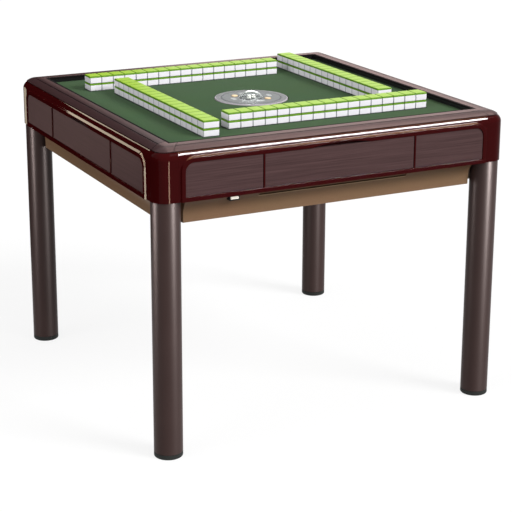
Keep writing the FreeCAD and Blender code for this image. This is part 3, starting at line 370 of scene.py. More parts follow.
# Drawer trays and runners: injection-moulded boxes in dark polypropylene, which slide on ribs
# in grooved black runners fixed to the aprons.
dark_moulding, surface = new_finish("dark_polypropylene", Roughness=0.55)
surface.inputs["Specular IOR Level"].default_value = 0.3
place = add_node(dark_moulding, "ShaderNodeTexCoord")
# leather-like mould grain of about 1.2 mm
leather = add_node(dark_moulding, "ShaderNodeTexVoronoi", values={"Scale": 1 / 0.0012},
                   links={"Vector": place.outputs["Object"]})
shade = add_node(dark_moulding, "ShaderNodeMix", {"data_type": "RGBA"},
                 {6: colour("#262628"), 7: colour("#343437")}, {0: leather.outputs["Distance"]})
relief = add_node(dark_moulding, "ShaderNodeBump", values={"Strength": 0.15, "Distance": 0.0002},
                  links={"Height": leather.outputs["Distance"]})
dark_moulding.node_tree.links.new(shade.outputs[2], surface.inputs["Base Color"])
dark_moulding.node_tree.links.new(relief.outputs["Normal"], surface.inputs["Normal"])

first_tray = skin_of("drawer_tray_front", "front_drawer_tray")
round_edges(first_tray, 0.0008, 2)
first_tray.data.materials.append(dark_moulding)
for quarter, side in enumerate(sides):
    tray = turned_copy(first_tray, side + "_drawer_tray", quarter) if quarter else first_tray
    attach(tray, side + "_drawer")
    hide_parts("drawer_tray_" + side)


def dress(node, finish):
    """Gives a plain CAD piece its finish."""
    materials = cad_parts[node].data.materials
    materials.clear()
    materials.append(finish)


dress("drawer_runners", black_nylon)


# Rim: a flat-topped rail on each side with a cap at each corner, moulded in satin plum ABS.
# A groove parts an inner band, painted lighter towards the play field as a highlight, from the rolled outer
# one, and slanted seams part rails from caps.
rim_crest = 0.760
rim_foot = 0.749
groove_place = 0.4445
groove_half = 0.0016
groove_depth = 0.0024
play_half = 0.414
lip_edge = 0.421
band_inside = 0.424
band_outside = 0.440
seam_inside = 0.395
seam_rate = 33 / 52
seam_place = seam_inside - play_half * seam_rate

plum_moulding, surface = new_finish("satin_plum_abs")
surface.inputs["Specular IOR Level"].default_value = 0.2
place = add_node(plum_moulding, "ShaderNodeTexCoord")
# matt mould texture of about 0.8 mm, drawn at 1.5 mm so that it shows
texture = add_node(plum_moulding, "ShaderNodeTexNoise", values={"Scale": 1 / 0.0015, "Detail": 3.0},
                   links={"Vector": place.outputs["Object"]})
cloud = add_node(plum_moulding, "ShaderNodeTexNoise", values={"Scale": 1 / 0.15, "Detail": 2.0},
                 links={"Vector": place.outputs["Object"]})
speckle = add_node(plum_moulding, "ShaderNodeMix", {"data_type": "RGBA"},
                   {6: colour("#352223"), 7: colour("#3e292a")}, {0: texture.outputs["Fac"]})
mottle = add_node(plum_moulding, "ShaderNodeMix", {"data_type": "RGBA", "blend_type": "MULTIPLY"},
                  {0: 0.1}, {6: speckle.outputs[2], 7: cloud.outputs["Color"]})
# painted highlight: the inner band is painted lighter towards the play field; painted shade darkens its inner
# edge, which is also made matt
split = add_node(plum_moulding, "ShaderNodeSeparateXYZ", links={"Vector": place.outputs["Object"]})
across = add_node(plum_moulding, "ShaderNodeMath", {"operation": "ABSOLUTE"}, links={0: split.outputs["X"]})
away = add_node(plum_moulding, "ShaderNodeMath", {"operation": "ABSOLUTE"}, links={0: split.outputs["Y"]})
reach = add_node(plum_moulding, "ShaderNodeMath", {"operation": "MAXIMUM"},
                 links={0: across.outputs["Value"], 1: away.outputs["Value"]})
band_highlight_ramp = add_node(plum_moulding, "ShaderNodeMapRange",
                 values={"From Min": band_outside, "From Max": band_inside},
                 links={"Value": reach.outputs["Value"]})
painted_band_highlight = add_node(plum_moulding, "ShaderNodeMix", {"data_type": "RGBA"}, {7: colour("#574241")},
                {0: band_highlight_ramp.outputs["Result"], 6: mottle.outputs[2]})
# painted shade darkens the groove and the foot where the rim sits on the frame; the slanted seams of the caps
# are dark joints
along = add_node(plum_moulding, "ShaderNodeMath", {"operation": "MINIMUM"},
                 links={0: across.outputs["Value"], 1: away.outputs["Value"]})
slant = add_node(plum_moulding, "ShaderNodeMath", {"operation": "MULTIPLY_ADD"}, {1: -seam_rate},
                 {0: reach.outputs["Value"], 2: along.outputs["Value"]})
lined = painted_band_highlight
for source, centre, half, code in ((reach.outputs["Value"], groove_place, groove_half, "#241718"),
                                   (slant.outputs["Value"], seam_place, 0.0014, "#241617"),
                                   (split.outputs["Z"], rim_foot, 0.0018, "#1c0807")):
    aside = add_node(plum_moulding, "ShaderNodeMath", {"operation": "COMPARE"}, {1: centre, 2: half},
                     {0: source})
    lined = add_node(plum_moulding, "ShaderNodeMix", {"data_type": "RGBA"}, {7: colour(code)},
                     {0: aside.outputs["Value"], 6: lined.outputs[2]})
# painted shade along the rim's inner edge next to the felt
edge = add_node(plum_moulding, "ShaderNodeMath", {"operation": "LESS_THAN"}, {1: lip_edge},
                {0: reach.outputs["Value"]})
shade = add_node(plum_moulding, "ShaderNodeMix", {"data_type": "RGBA"}, {7: colour("#120e0f")},
                 {0: edge.outputs["Value"], 6: lined.outputs[2]})
matt = add_node(plum_moulding, "ShaderNodeMapRange", values={"To Min": 0.4, "To Max": 1.0},
                links={"Value": edge.outputs["Value"]})
relief = add_node(plum_moulding, "ShaderNodeBump", values={"Strength": 0.08, "Distance": 0.0002},
                  links={"Height": texture.outputs["Fac"]})
plum_moulding.node_tree.links.new(matt.outputs["Result"], surface.inputs["Roughness"])
plum_moulding.node_tree.links.new(shade.outputs[2], surface.inputs["Base Color"])
plum_moulding.node_tree.links.new(relief.outputs["Normal"], surface.inputs["Normal"])

rim_group = bpy.data.collections.new("rim_pieces")
first_rail = skin_of("rim_rail_front", "front_rim_rail")
bpy.ops.object.mode_set(mode="EDIT")
for step in (-groove_half, 0.0, groove_half):
    bpy.ops.mesh.select_all(action="SELECT")
    bpy.ops.mesh.bisect(plane_co=(0, step - groove_place, 0), plane_no=(0, 1, 0))
bpy.ops.object.mode_set(mode="OBJECT")
pick_points(first_rail, lambda point: abs(point.y + groove_place) < 0.0001 and point.z > rim_crest - 0.0008)
bpy.ops.transform.translate(value=(0, 0, -groove_depth))
bpy.ops.object.mode_set(mode="OBJECT")
round_edges(first_rail, 0.0007, 2, sharpness=32,
            where=lambda point: abs(point.y + groove_place) > groove_half + 0.0002)
first_rail.data.materials.append(plum_moulding)
for quarter, side in enumerate(sides):
    rail = turned_copy(first_rail, side + "_rim_rail", quarter) if quarter else first_rail
    if side != "left":
        rim_group.objects.link(rail)
    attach(rail, "chassis")
    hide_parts("rim_rail_" + side)

caps = skin_of("rim_corners", "rim_corner_caps")
round_edges(caps, 0.0007, 2, sharpness=32)
caps.data.materials.append(plum_moulding)
rim_group.objects.link(caps)
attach(caps, "chassis")
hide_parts("rim_corners")

liners = skin_of("rim_liners", "rim_inner_wall")
round_edges(liners, 0.0005, 2)
liners.data.materials.append(black_nylon)
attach(liners, "chassis")
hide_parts("rim_liners")


# Play board: fibreboard, 12 mm thick, on the ledges of the aprons, with slots for the tile lifts
# and a hole for the console. Only its cut edges show, when a lift is down.
raw_fibreboard, surface = new_finish("raw_fibreboard", Roughness=0.8)
place = add_node(raw_fibreboard, "ShaderNodeTexCoord")
# pressed fibres about 1 mm thick
fibre = add_node(raw_fibreboard, "ShaderNodeTexNoise", values={"Scale": 1 / 0.001, "Detail": 4.0},
                 links={"Vector": place.outputs["Object"]})
shade = add_node(raw_fibreboard, "ShaderNodeMix", {"data_type": "RGBA"},
                 {6: colour("#7d6147"), 7: colour("#967757")}, {0: fibre.outputs["Fac"]})
raw_fibreboard.node_tree.links.new(shade.outputs[2], surface.inputs["Base Color"])
dress("play_board", raw_fibreboard)


# Felt: one sheet of grey-green wool felt, 900 mm square and 3 mm thick, glued to the board and cut out
# for the four tile lifts and the console. Its face is a dense nap of short fibres.
felt_half = 0.450
felt_top = 0.746
felt_thickness = 0.003
slot_x = (-0.214, 0.3527)
slot_y = (-0.303, -0.257)
console_hole = 0.098

wool_felt, surface = new_finish("grey_green_wool_felt", Roughness=0.95)
surface.inputs["Specular IOR Level"].default_value = 0.1
surface.inputs["Sheen Weight"].default_value = 0.15
surface.inputs["Sheen Roughness"].default_value = 0.5
surface.inputs["Sheen Tint"].default_value = colour("#a9c49c")
place = add_node(wool_felt, "ShaderNodeTexCoord")
# single fibres are 0.03 mm thick; their tufts show at about 1.5 mm
nap = add_node(wool_felt, "ShaderNodeTexNoise", values={"Scale": 1 / 0.0015, "Detail": 4.0, "Roughness": 0.7},
               links={"Vector": place.outputs["Object"]})
brushing = add_node(wool_felt, "ShaderNodeTexNoise", values={"Scale": 1 / 0.09, "Detail": 2.0},
                    links={"Vector": place.outputs["Object"]})
tufts = add_node(wool_felt, "ShaderNodeMix", {"data_type": "RGBA"},
                 {6: colour("#2a3e29"), 7: colour("#395135")}, {0: nap.outputs["Fac"]})
shade = add_node(wool_felt, "ShaderNodeMix", {"data_type": "RGBA", "blend_type": "SOFT_LIGHT"},
                 {0: 0.15}, {6: tufts.outputs[2], 7: brushing.outputs["Color"]})
relief = add_node(wool_felt, "ShaderNodeBump", values={"Strength": 0.35, "Distance": 0.0004},
                  links={"Height": nap.outputs["Fac"]})
wool_felt.node_tree.links.new(shade.outputs[2], surface.inputs["Base Color"])
wool_felt.node_tree.links.new(relief.outputs["Normal"], surface.inputs["Normal"])

bpy.ops.object.select_all(action="DESELECT")
bpy.ops.mesh.primitive_plane_add(size=felt_half * 2, location=(0, 0, felt_top))
felt = bpy.context.object
felt.name = "felt_sheet"
bpy.ops.object.transform_apply(location=True)
slots = []
for quarter in range(4):
    spin = Matrix.Rotation(math.radians(90 * quarter), 4, "Z")
    corners = [spin @ Vector((x, y, felt_top)) for x in slot_x for y in slot_y]
    slots.append([(min(c[axis] for c in corners), max(c[axis] for c in corners)) for axis in (0, 1)])
bpy.ops.object.mode_set(mode="EDIT")
for slot in slots:
    for axis, direction in ((0, (1, 0, 0)), (1, (0, 1, 0))):
        for cut_line in slot[axis]:
            bpy.ops.mesh.select_all(action="SELECT")
            bpy.ops.mesh.bisect(plane_co=[cut_line * part for part in direction], plane_no=direction)
bpy.ops.mesh.select_mode(type="FACE")
bpy.ops.mesh.select_all(action="DESELECT")
bpy.ops.object.mode_set(mode="OBJECT")
for patch in felt.data.polygons:
    patch.select = any(slot[0][0] < patch.center.x < slot[0][1] and slot[1][0] < patch.center.y < slot[1][1]
                       for slot in slots)
bpy.ops.object.mode_set(mode="EDIT")
bpy.ops.mesh.delete(type="FACE")
bpy.ops.object.mode_set(mode="OBJECT")
wall = felt.modifiers.new("felt_thickness", "SOLIDIFY")
wall.thickness = felt_thickness
wall.offset = -1
bpy.ops.object.modifier_apply(modifier=wall.name)
bpy.ops.mesh.primitive_cylinder_add(vertices=128, radius=console_hole, depth=0.02, location=(0, 0, felt_top))
punch = bpy.context.object
bpy.context.view_layer.objects.active = felt
hole = felt.modifiers.new("console_hole", "BOOLEAN")
hole.object = punch
hole.operation = "DIFFERENCE"
hole.solver = "EXACT"
bpy.ops.object.modifier_apply(modifier=hole.name)
bpy.data.objects.remove(punch)
felt.select_set(True)
bpy.ops.object.mode_set(mode="EDIT")
bpy.ops.mesh.select_all(action="SELECT")
bpy.ops.mesh.dissolve_limited(angle_limit=math.radians(1))
bpy.ops.object.mode_set(mode="OBJECT")
round_edges(felt, 0.0006, 2, sharpness=60)
felt.data.materials.append(wool_felt)
felt_area = (felt_half * 2) ** 2 - math.pi * console_hole ** 2
felt_area -= 4 * (slot_x[1] - slot_x[0]) * (slot_y[1] - slot_y[0])
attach(felt, "chassis")
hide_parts("felt_cloth")


# Tile walls: 136 mahjong tiles lying face down in four walls of two layers, 17 tiles long.
# Each tile is a white melamine body with a green back pressed onto it, tumbled to round its edges.
tile_width = 0.03285
tile_length = 0.042
tile_height = 0.01975
tile_pitch = 0.0331
layer_pitch = 0.020
wall_start = -0.21175
wall_inside = -0.259
green_depth = 0.0044
tile_edge = 0.0016
tile_count = 17

white_melamine, surface = new_finish("white_melamine", Roughness=0.24)
surface.inputs["Specular IOR Level"].default_value = 0.4
place = add_node(white_melamine, "ShaderNodeTexCoord")
cloud = add_node(white_melamine, "ShaderNodeTexNoise", values={"Scale": 1 / 0.012, "Detail": 2.0},
                 links={"Vector": place.outputs["Object"]})
shade = add_node(white_melamine, "ShaderNodeMix", {"data_type": "RGBA"},
                 {6: colour("#e8e4ec"), 7: colour("#f0edf3")}, {0: cloud.outputs["Fac"]})
white_melamine.node_tree.links.new(shade.outputs[2], surface.inputs["Base Color"])
# painted shade: the rounded edges take a darker copy of the white, standing in for the shade in the gaps
# between tiles
white_painted_shade = white_melamine.copy()
white_painted_shade.name = "white_melamine_painted_shade"
for socket, code in ((6, "#b0b3b7"), (7, "#bcbfc3")):
    white_painted_shade.node_tree.nodes["Mix"].inputs[socket].default_value = colour(code)

green_melamine, surface = new_finish("green_melamine", Roughness=0.4)
surface.inputs["Specular IOR Level"].default_value = 0.4
place = add_node(green_melamine, "ShaderNodeTexCoord")
cloud = add_node(green_melamine, "ShaderNodeTexNoise", values={"Scale": 1 / 0.025, "Detail": 2.0},
                 links={"Vector": place.outputs["Object"]})
shade = add_node(green_melamine, "ShaderNodeMix", {"data_type": "RGBA"},
                 {6: colour("#9fc62e"), 7: colour("#b0d44e")}, {0: cloud.outputs["Fac"]})
green_melamine.node_tree.links.new(shade.outputs[2], surface.inputs["Base Color"])
# painted shade: the green's rounded edges and sides take a darker copy of the green, standing in for the
# shade in the gaps and on the sides
green_painted_shade = green_melamine.copy()
green_painted_shade.name = "green_melamine_painted_shade"
for socket, code in ((6, "#4f7a00"), (7, "#5f8c08")):
    green_painted_shade.node_tree.nodes["Mix"].inputs[socket].default_value = colour(code)

bpy.ops.object.select_all(action="DESELECT")
bpy.ops.mesh.primitive_cube_add(size=1)
first_tile = bpy.context.object
bpy.ops.transform.resize(value=(tile_width, tile_length, tile_height))
bpy.ops.object.transform_apply(location=True, scale=True)
bpy.ops.object.mode_set(mode="EDIT")
bpy.ops.mesh.select_all(action="SELECT")
bpy.ops.mesh.bevel(offset=tile_edge, segments=1, affect="EDGES")
bpy.ops.mesh.select_all(action="SELECT")
bpy.ops.mesh.bisect(plane_co=(0, 0, tile_height / 2 - green_depth), plane_no=(0, 0, 1))
bpy.ops.object.mode_set(mode="OBJECT")
for finish in (white_melamine, green_melamine, white_painted_shade, green_painted_shade):
    first_tile.data.materials.append(finish)
# flat faces take the plain finishes; rounded edges and the sides of the green back take the painted-shade
# copies
for patch in first_tile.data.polygons:
    upper = patch.center.z > tile_height / 2 - green_depth
    flat_face = max(abs(part) for part in patch.normal) > 0.99
    patch.material_index = int(upper) + (0 if flat_face and not (upper and patch.normal.z < 0.5) else 2)
bpy.ops.object.shade_smooth_by_angle(angle=math.radians(50))
shading = first_tile.modifiers.new("face_shading", "WEIGHTED_NORMAL")
bpy.ops.object.modifier_apply(modifier=shading.name)

bpy.ops.object.select_all(action="DESELECT")
for column in range(tile_count):
    for layer in range(2):
        tile = bpy.data.objects.new("tile", first_tile.data.copy())
        tile.data.transform(Matrix.Translation((
            wall_start + tile_width / 2 + tile_pitch * column,
            wall_inside - tile_length / 2,
            felt_top + tile_height / 2 + layer_pitch * layer)))
        bpy.context.scene.collection.objects.link(tile)
        tile.select_set(True)
        bpy.context.view_layer.objects.active = tile
bpy.ops.object.join()
first_wall = bpy.context.object
first_wall.name = "front_tile_wall"
bpy.data.objects.remove(first_tile)
for quarter, side in enumerate(sides):
    tiles = turned_copy(first_wall, side + "_tile_wall", quarter) if quarter else first_wall
    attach(tiles, side + "_lift")
    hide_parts("tiles_" + side)


# Tile lifts: a moulded tray under each wall on three steel rods, which run in sleeves on the tub's floor.
# Their moulding is the dark polypropylene of the drawers, and the sleeves are machined steel.
machined_steel, surface = new_finish("machined_steel", Metallic=1.0, Roughness=0.35)
place = add_node(machined_steel, "ShaderNodeTexCoord")
# turning marks about 0.4 mm apart, drawn at 1.5 mm
turning = add_node(machined_steel, "ShaderNodeMapping", values={"Scale": (20.0, 20.0, 1 / 0.0015)},
                   links={"Vector": place.outputs["Object"]})
marks = add_node(machined_steel, "ShaderNodeTexNoise", values={"Scale": 1.0, "Detail": 2.0},
                 links={"Vector": turning.outputs["Vector"]})
shade = add_node(machined_steel, "ShaderNodeMix", {"data_type": "RGBA"},
                 {6: colour("#9a9b9d"), 7: colour("#b9babc")}, {0: marks.outputs["Fac"]})
machined_steel.node_tree.links.new(shade.outputs[2], surface.inputs["Base Color"])

grey_enamel, surface = new_finish("grey_enamel", Roughness=0.45)
place = add_node(grey_enamel, "ShaderNodeTexCoord")
peel = add_node(grey_enamel, "ShaderNodeTexNoise", values={"Scale": 1 / 0.002, "Detail": 2.0},
                links={"Vector": place.outputs["Object"]})
shade = add_node(grey_enamel, "ShaderNodeMix", {"data_type": "RGBA"},
                 {6: colour("#4a4d50"), 7: colour("#585b5e")}, {0: peel.outputs["Fac"]})
grey_enamel.node_tree.links.new(shade.outputs[2], surface.inputs["Base Color"])

inner_finishes = {
    dark_moulding: ["lift_tray_" + side for side in sides]
    + ["tile_tracks", "console_stem", "shuffle_turntable"],
    machined_steel: ["leg_spigots", "leg_bolts", "centre_column", "lift_guides"],
    grey_enamel: ["lift_actuators", "drive_motor", "control_box"],
    moulded_rubber: ["drive_wheel"]}
for finish, nodes in inner_finishes.items():
    for node in nodes:
        dress(node, finish)


# Console: a round ABS plate in mid grey, with a dark gloss ring whose outer edge is painted paler as a
# highlight.
# It carries four pale lamps, two cream buttons in dark collars and the dice under a clear dome.
plate_top = 0.748
plate_radius = 0.0795
ring_flat = 0.0945
button_place = 0.0325
collar_radius = 0.0112

grey_abs, surface = new_finish("mid_grey_abs", Roughness=0.35)
surface.inputs["Specular IOR Level"].default_value = 0.4
place = add_node(grey_abs, "ShaderNodeTexCoord")
texture = add_node(grey_abs, "ShaderNodeTexNoise", values={"Scale": 1 / 0.0015, "Detail": 2.0},
                   links={"Vector": place.outputs["Object"]})
grain = add_node(grey_abs, "ShaderNodeMix", {"data_type": "RGBA"},
                 {6: colour("#66696a"), 7: colour("#747778")}, {0: texture.outputs["Fac"]})
# a dark collar lies round each button, and a band of painted shade lies inside the plate's edge, where it
# meets the ring
middle = (0, 0, plate_top)
masks = []
for spot, low, high in ((middle, plate_radius - 0.0035, plate_radius - 0.001),
                        ((button_place, -button_place, plate_top), 0.0, collar_radius),
                        ((-button_place, button_place, plate_top), 0.0, collar_radius)):
    away = add_node(grey_abs, "ShaderNodeVectorMath", {"operation": "DISTANCE"}, {1: spot},
                    {0: place.outputs["Object"]})
    masks.append(add_node(grey_abs, "ShaderNodeMath", {"operation": "COMPARE"},
                          {1: (low + high) / 2, 2: (high - low) / 2}, {0: away.outputs["Value"]}))
pair = add_node(grey_abs, "ShaderNodeMath", {"operation": "MAXIMUM"},
                links={0: masks[0].outputs["Value"], 1: masks[1].outputs["Value"]})
dark = add_node(grey_abs, "ShaderNodeMath", {"operation": "MAXIMUM"},
                links={0: pair.outputs["Value"], 1: masks[2].outputs["Value"]})
shade = add_node(grey_abs, "ShaderNodeMix", {"data_type": "RGBA"}, {7: colour("#33373d")},
                 {0: dark.outputs["Value"], 6: grain.outputs[2]})
grey_abs.node_tree.links.new(shade.outputs[2], surface.inputs["Base Color"])

dark_abs, surface = new_finish("dark_gloss_abs", Roughness=0.2)
place = add_node(dark_abs, "ShaderNodeTexCoord")
texture = add_node(dark_abs, "ShaderNodeTexNoise", values={"Scale": 1 / 0.0015, "Detail": 2.0},
                   links={"Vector": place.outputs["Object"]})
grain = add_node(dark_abs, "ShaderNodeMix", {"data_type": "RGBA"},
                 {6: colour("#46474a"), 7: colour("#525357")}, {0: texture.outputs["Fac"]})
# painted highlight: the ring's rounded outer edge is painted pale
away = add_node(dark_abs, "ShaderNodeVectorMath", {"operation": "DISTANCE"}, {1: middle},
                {0: place.outputs["Object"]})
ring_edge_highlight = add_node(dark_abs, "ShaderNodeMath", {"operation": "GREATER_THAN"}, {1: ring_flat - 0.001},
               {0: away.outputs["Value"]})
shade = add_node(dark_abs, "ShaderNodeMix", {"data_type": "RGBA"}, {7: colour("#a59ba5")},
                 {0: ring_edge_highlight.outputs["Value"], 6: grain.outputs[2]})
dark_abs.node_tree.links.new(shade.outputs[2], surface.inputs["Base Color"])

plate = skin_of("console_plate", "console_top_plate")
round_edges(plate, 0.0008, 2)
plate.data.materials.append(grey_abs)
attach(plate, "console")
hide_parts("console_plate")

ring = skin_of("console_ring", "console_outer_ring")
round_edges(ring, 0.0006, 2)
ring.data.materials.append(dark_abs)
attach(ring, "console")
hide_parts("console_ring")

lamp_lens, surface = new_finish("pale_lamp_lens", Roughness=0.25)
place = add_node(lamp_lens, "ShaderNodeTexCoord")
# moulded prisms 2 mm apart under the lens
prisms = add_node(lamp_lens, "ShaderNodeTexVoronoi", values={"Scale": 1 / 0.002},
                  links={"Vector": place.outputs["Object"]})
shade = add_node(lamp_lens, "ShaderNodeMix", {"data_type": "RGBA"},
                 {6: colour("#a2a6a6"), 7: colour("#bcbfbe")}, {0: prisms.outputs["Distance"]})
lamp_lens.node_tree.links.new(shade.outputs[2], surface.inputs["Base Color"])

lamps = skin_of("seat_lamps", "seat_lamp_lenses")
round_edges(lamps, 0.0006, 2)
lamps.data.materials.append(lamp_lens)
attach(lamps, "console")
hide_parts("seat_lamps")

cream_urea, surface = new_finish("cream_urea", Roughness=0.28)
place = add_node(cream_urea, "ShaderNodeTexCoord")
handling = add_node(cream_urea, "ShaderNodeTexNoise", values={"Scale": 1 / 0.005, "Detail": 2.0},
                    links={"Vector": place.outputs["Object"]})
shade = add_node(cream_urea, "ShaderNodeMix", {"data_type": "RGBA"},
                 {6: colour("#f0cf9c"), 7: colour("#f8dbac")}, {0: handling.outputs["Fac"]})
cream_urea.node_tree.links.new(shade.outputs[2], surface.inputs["Base Color"])

for letter in "ab":
    button = skin_of("dice_button_" + letter, "start_button_" + letter)
    round_edges(button, 0.0006, 3)
    button.data.materials.append(cream_urea)
    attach(button, "button_" + letter)
    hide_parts("dice_button_" + letter)

dice_felt, surface = new_finish("dice_plate_flock", Roughness=0.7)
place = add_node(dice_felt, "ShaderNodeTexCoord")
flock = add_node(dice_felt, "ShaderNodeTexNoise", values={"Scale": 1 / 0.001, "Detail": 3.0},
                 links={"Vector": place.outputs["Object"]})
shade = add_node(dice_felt, "ShaderNodeMix", {"data_type": "RGBA"},
                 {6: colour("#6d706f"), 7: colour("#828584")}, {0: flock.outputs["Fac"]})
dice_felt.node_tree.links.new(shade.outputs[2], surface.inputs["Base Color"])
dress("dice_plate", dice_felt)

dice = skin_of("dice", "pair_of_dice")
round_edges(dice, 0.0009, 3)
dice.data.materials.append(white_urea)
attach(dice, "dice_spinner")
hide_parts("dice")

clear_acrylic, surface = new_finish("clear_acrylic", IOR=1.49)
surface.inputs["Transmission Weight"].default_value = 1.0
surface.inputs["Base Color"].default_value = colour("#f4f7f6")
place = add_node(clear_acrylic, "ShaderNodeTexCoord")
# polishing haze in patches of about 12 mm
haze = add_node(clear_acrylic, "ShaderNodeTexNoise", values={"Scale": 1 / 0.012, "Detail": 3.0},
                links={"Vector": place.outputs["Object"]})
polish = add_node(clear_acrylic, "ShaderNodeMapRange", values={"To Min": 0.02, "To Max": 0.05},
                  links={"Value": haze.outputs["Fac"]})
clear_acrylic.node_tree.links.new(polish.outputs["Result"], surface.inputs["Roughness"])
dome = skin_of("dice_dome", "clear_dice_dome")
round_edges(dome, 0.0004, 2, sharpness=50)
dome.data.materials.append(clear_acrylic)
dome_group = bpy.data.collections.new("dome_shell")
dome_group.objects.link(dome)
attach(dome, "console")
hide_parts("dice_dome")


# Studio: a wide pale floor, soft light mostly from the front right, and lamps that show only as reflections.
# Dark cards keep the left side's gloss deep. The camera stands left of the front, at standing height.
floor_size = 160
floor_glow = 0.85
sky_light = 0.5
sky_seen = 1.0

pale_floor, surface = new_finish("pale_floor", Roughness=0.9)
surface.inputs["Base Color"].default_value = colour("#6a6a6a")
surface.inputs["Specular IOR Level"].default_value = 0.0
surface.inputs["Emission Color"].default_value = colour("#ffffff")


def seen_directly(owner):
    """One for rays from the camera, a mirror or clear plastic, and nothing for the rest."""
    rays = add_node(owner, "ShaderNodeLightPath")
    direct = add_node(owner, "ShaderNodeMath", {"operation": "MAXIMUM"},
                      links={0: rays.outputs["Is Camera Ray"], 1: rays.outputs["Is Glossy Ray"]})
    seen = add_node(owner, "ShaderNodeMath", {"operation": "MAXIMUM"},
                    links={0: direct.outputs["Value"], 1: rays.outputs["Is Transmission Ray"]})
    return seen.outputs["Value"]


lift = add_node(pale_floor, "ShaderNodeMath", {"operation": "MULTIPLY"}, {1: floor_glow},
                {0: seen_directly(pale_floor)})
pale_floor.node_tree.links.new(lift.outputs["Value"], surface.inputs["Emission Strength"])
bpy.ops.object.select_all(action="DESELECT")
bpy.ops.mesh.primitive_plane_add(size=floor_size)
floor = bpy.context.object
floor.name = "studio_floor"
floor.data.materials.append(pale_floor)

world = bpy.context.scene.world or bpy.data.worlds.new("studio")
bpy.context.scene.world = world
world.use_nodes = True
backdrop = world.node_tree.nodes["Background"]
backdrop.inputs["Color"].default_value = colour("#ffffff")
level = add_node(world, "ShaderNodeMapRange", values={"To Min": sky_light, "To Max": sky_seen},
                 links={"Value": seen_directly(world)})
world.node_tree.links.new(level.outputs["Result"], backdrop.inputs["Strength"])

for name, energy, angle, direction in (("overhead_light", 3.2, 25, (-0.5, 0.66, -0.56)),
                                       ("front_fill_light", 0.4, 30, (-0.1, 0.93, -0.35)),
                                       ("left_fill_light", 1.1, 40, (0.92, 0.2, -0.34))):
    bpy.ops.object.light_add(type="SUN", location=Vector(direction) * -4)
    light = bpy.context.object
    light.name = name
    light.data.energy = energy
    light.data.angle = math.radians(angle)
    light.rotation_euler = Vector(direction).to_track_quat("-Z", "Y").to_euler()
    light.visible_glossy = False


def strip_lamp(name, place, aim, size, power, tint, group=None):
    """A soft lamp that faces a point and shows only as a reflection, on one group of pieces or on all."""
    bpy.ops.object.light_add(type="AREA", location=place)
    lamp = bpy.context.object
    lamp.name = name
    lamp.data.shape = "RECTANGLE"
    lamp.data.size = size[0]
    lamp.data.size_y = size[1]
    lamp.data.energy = power
    lamp.data.color = colour(tint)[:3]
    lamp.rotation_euler = (Vector(aim) - Vector(place)).to_track_quat("-Z", "Y").to_euler()
    lamp.visible_camera = False
    lamp.visible_diffuse = False
    if group:
        lamp.light_linking.receiver_collection = group


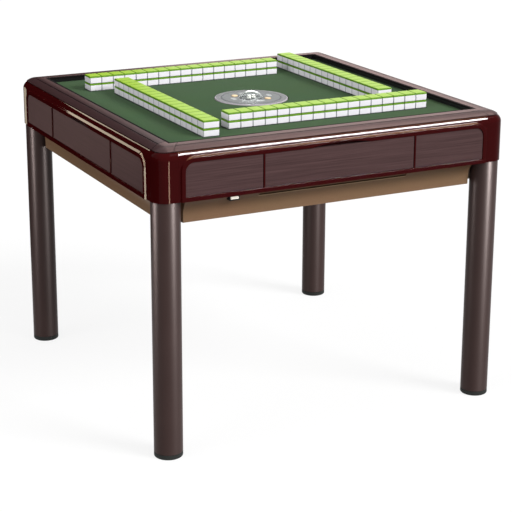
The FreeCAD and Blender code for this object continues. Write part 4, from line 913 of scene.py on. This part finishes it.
left_corner = (-0.478, -0.41, 0.725)
strip_lamp("ceiling_lamp", (1.27, -1.41, 2.9), (1.27, -1.41, 0), (1.65, 1.08), 25, "#ffffff")
for name, place, aim, size, power, tint, group in (
        ("front_roll_lamp", (1.24, -1.44, 2.68), (1.24, -1.44, 0), (1.6, 0.9), 2300, "#ffffff", apron_group),
        ("front_shoulder_lamp", (1.15, -0.35, 2.745), (1.15, -0.35, 0), (1.7, 0.16), 40, "#ffc48c",
         apron_group),
        ("front_corner_lamp", (-0.55, -0.5, 2.745), (-0.55, -0.5, 0), (1.5, 0.6), 190, "#ffcc98",
         apron_group),
        ("left_shoulder_lamp", (-0.8, 2.5, 2.0), (-0.478, -0.2, 0.737), (0.4, 0.5), 8, "#fff0d3", left_group),
        ("left_upper_lamp", (-1.126, 0.3, 1.88), left_corner, (0.95, 0.95), 200, "#ffe6c4", left_group),
        ("left_corner_lamp", (-1.43, -0.54, 1.83), left_corner, (0.9, 0.9), 260, "#ffe6c4", left_group),
        ("left_lower_lamp", (-1.475, -1.124, 1.18), left_corner, (0.8, 0.8), 200, "#ffe6c4", left_group),
        ("near_shoulder_lamp", (-1.34, -1.17, 0.4), (-0.478, -0.417, 0.69), (0.45, 0.5), 100, "#fff0d3",
         left_group),
        ("near_post_lamp", (-0.218, -1.91, 0.32), (-0.445, -0.476, 0.69), (0.2, 0.3), 20, "#ffd8b8",
         post_group),
        ("far_post_lamp", (-0.87, 1.65, 0.45), (-0.47, 0.44, 0.69), (0.16, 0.5), 1.3, "#fff0d3", post_group),
        ("panel_lamp", (-1.3, 1.6, 0.4), (-0.48, 0, 0.69), (0.8, 0.6), 1.3, "#ffd8ce", panel_group),
        ("dome_back_lamp", (1.1, 2.15, 1.45), (0, 0, 0.76), (1.0, 0.4), 10, "#ffffff", dome_group),
        ("dome_front_lamp", (-0.6, -1.3, 1.9), (0, 0, 0.76), (1.2, 0.5), 30, "#ffffff", dome_group),
        ("rim_back_lamp", (1.65, 2.5, 1.6), (0, -0.44, 0.76), (1.6, 0.7), 7, "#ffc8be", rim_group),
        ("rim_slope_lamp", (1.0, 0.5, 2.6), (0, -0.44, 0.76), (1.6, 0.7), 18, "#ffd8ce", rim_group),
        ("rim_lip_lamp", (1.15, -0.3, 2.745), (1.15, -0.3, 0), (1.7, 0.3), 45, "#ffe0d8", rim_group),
        ("leg_side_lamp", (-2.0, 0.1, 0.6), (-0.44, -0.44, 0.4), (0.5, 1.0), 165, "#ffeeea", leg_group),
        ("leg_lamp", (1.0, -2.45, 0.7), (0, -0.44, 0.4), (0.4, 1.0), 1000, "#ffeeea", leg_group)):
    strip_lamp(name, place, aim, size, power, tint, group)

dark_card, surface = new_finish("dark_card", Roughness=1.0)
surface.inputs["Base Color"].default_value = colour("#000000")
surface.inputs["Specular IOR Level"].default_value = 0.0
for name, place, tilt, turn, width, height in (("back_dark_card", (-1.25, 1.75, 0.71), 90, 21, 2.2, 1.42),
                                               ("left_dark_card", (-2.2, 0.1, 0.71), 90, 90, 2.6, 1.42),
                                               ("rear_dark_card", (-0.55, 2.7, 1.6), 90, 0, 2.8, 3.2),
                                               ("low_dark_card", (-1.1, 1.36, 0.004), 0, 21, 2.2, 0.8)):
    bpy.ops.object.select_all(action="DESELECT")
    bpy.ops.mesh.primitive_plane_add(size=1, location=place,
                                     rotation=(math.radians(tilt), 0, math.radians(turn)))
    card = bpy.context.object
    card.name = name
    bpy.ops.transform.resize(value=(width, height, 1), orient_type="LOCAL")
    card.data.materials.append(dark_card)
    card.visible_camera = False
    card.visible_diffuse = False
    card.visible_shadow = False
    card.visible_transmission = False

camera_place = Vector((-1.77738, -3.54015, 1.5888))
heading, tilt, roll = (math.radians(angle) for angle in (63.1424, -15.9997, 0.2188))
forward = Vector((math.cos(heading) * math.cos(tilt), math.sin(heading) * math.cos(tilt), math.sin(tilt)))
level_right = forward.cross(Vector((0, 0, 1))).normalized()
level_up = level_right.cross(forward)
right = math.cos(roll) * level_right + math.sin(roll) * level_up
up = math.cos(roll) * level_up - math.sin(roll) * level_right
bpy.ops.object.camera_add(location=camera_place)
camera = bpy.context.object
camera.name = "photo_camera"
camera.rotation_euler = Matrix((right, up, -forward)).transposed().to_euler()
camera.data.sensor_width = 36
camera.data.lens = 108.12
camera.data.shift_y = -0.0996
bpy.context.scene.camera = camera
bpy.context.scene.view_settings.view_transform = "Standard"
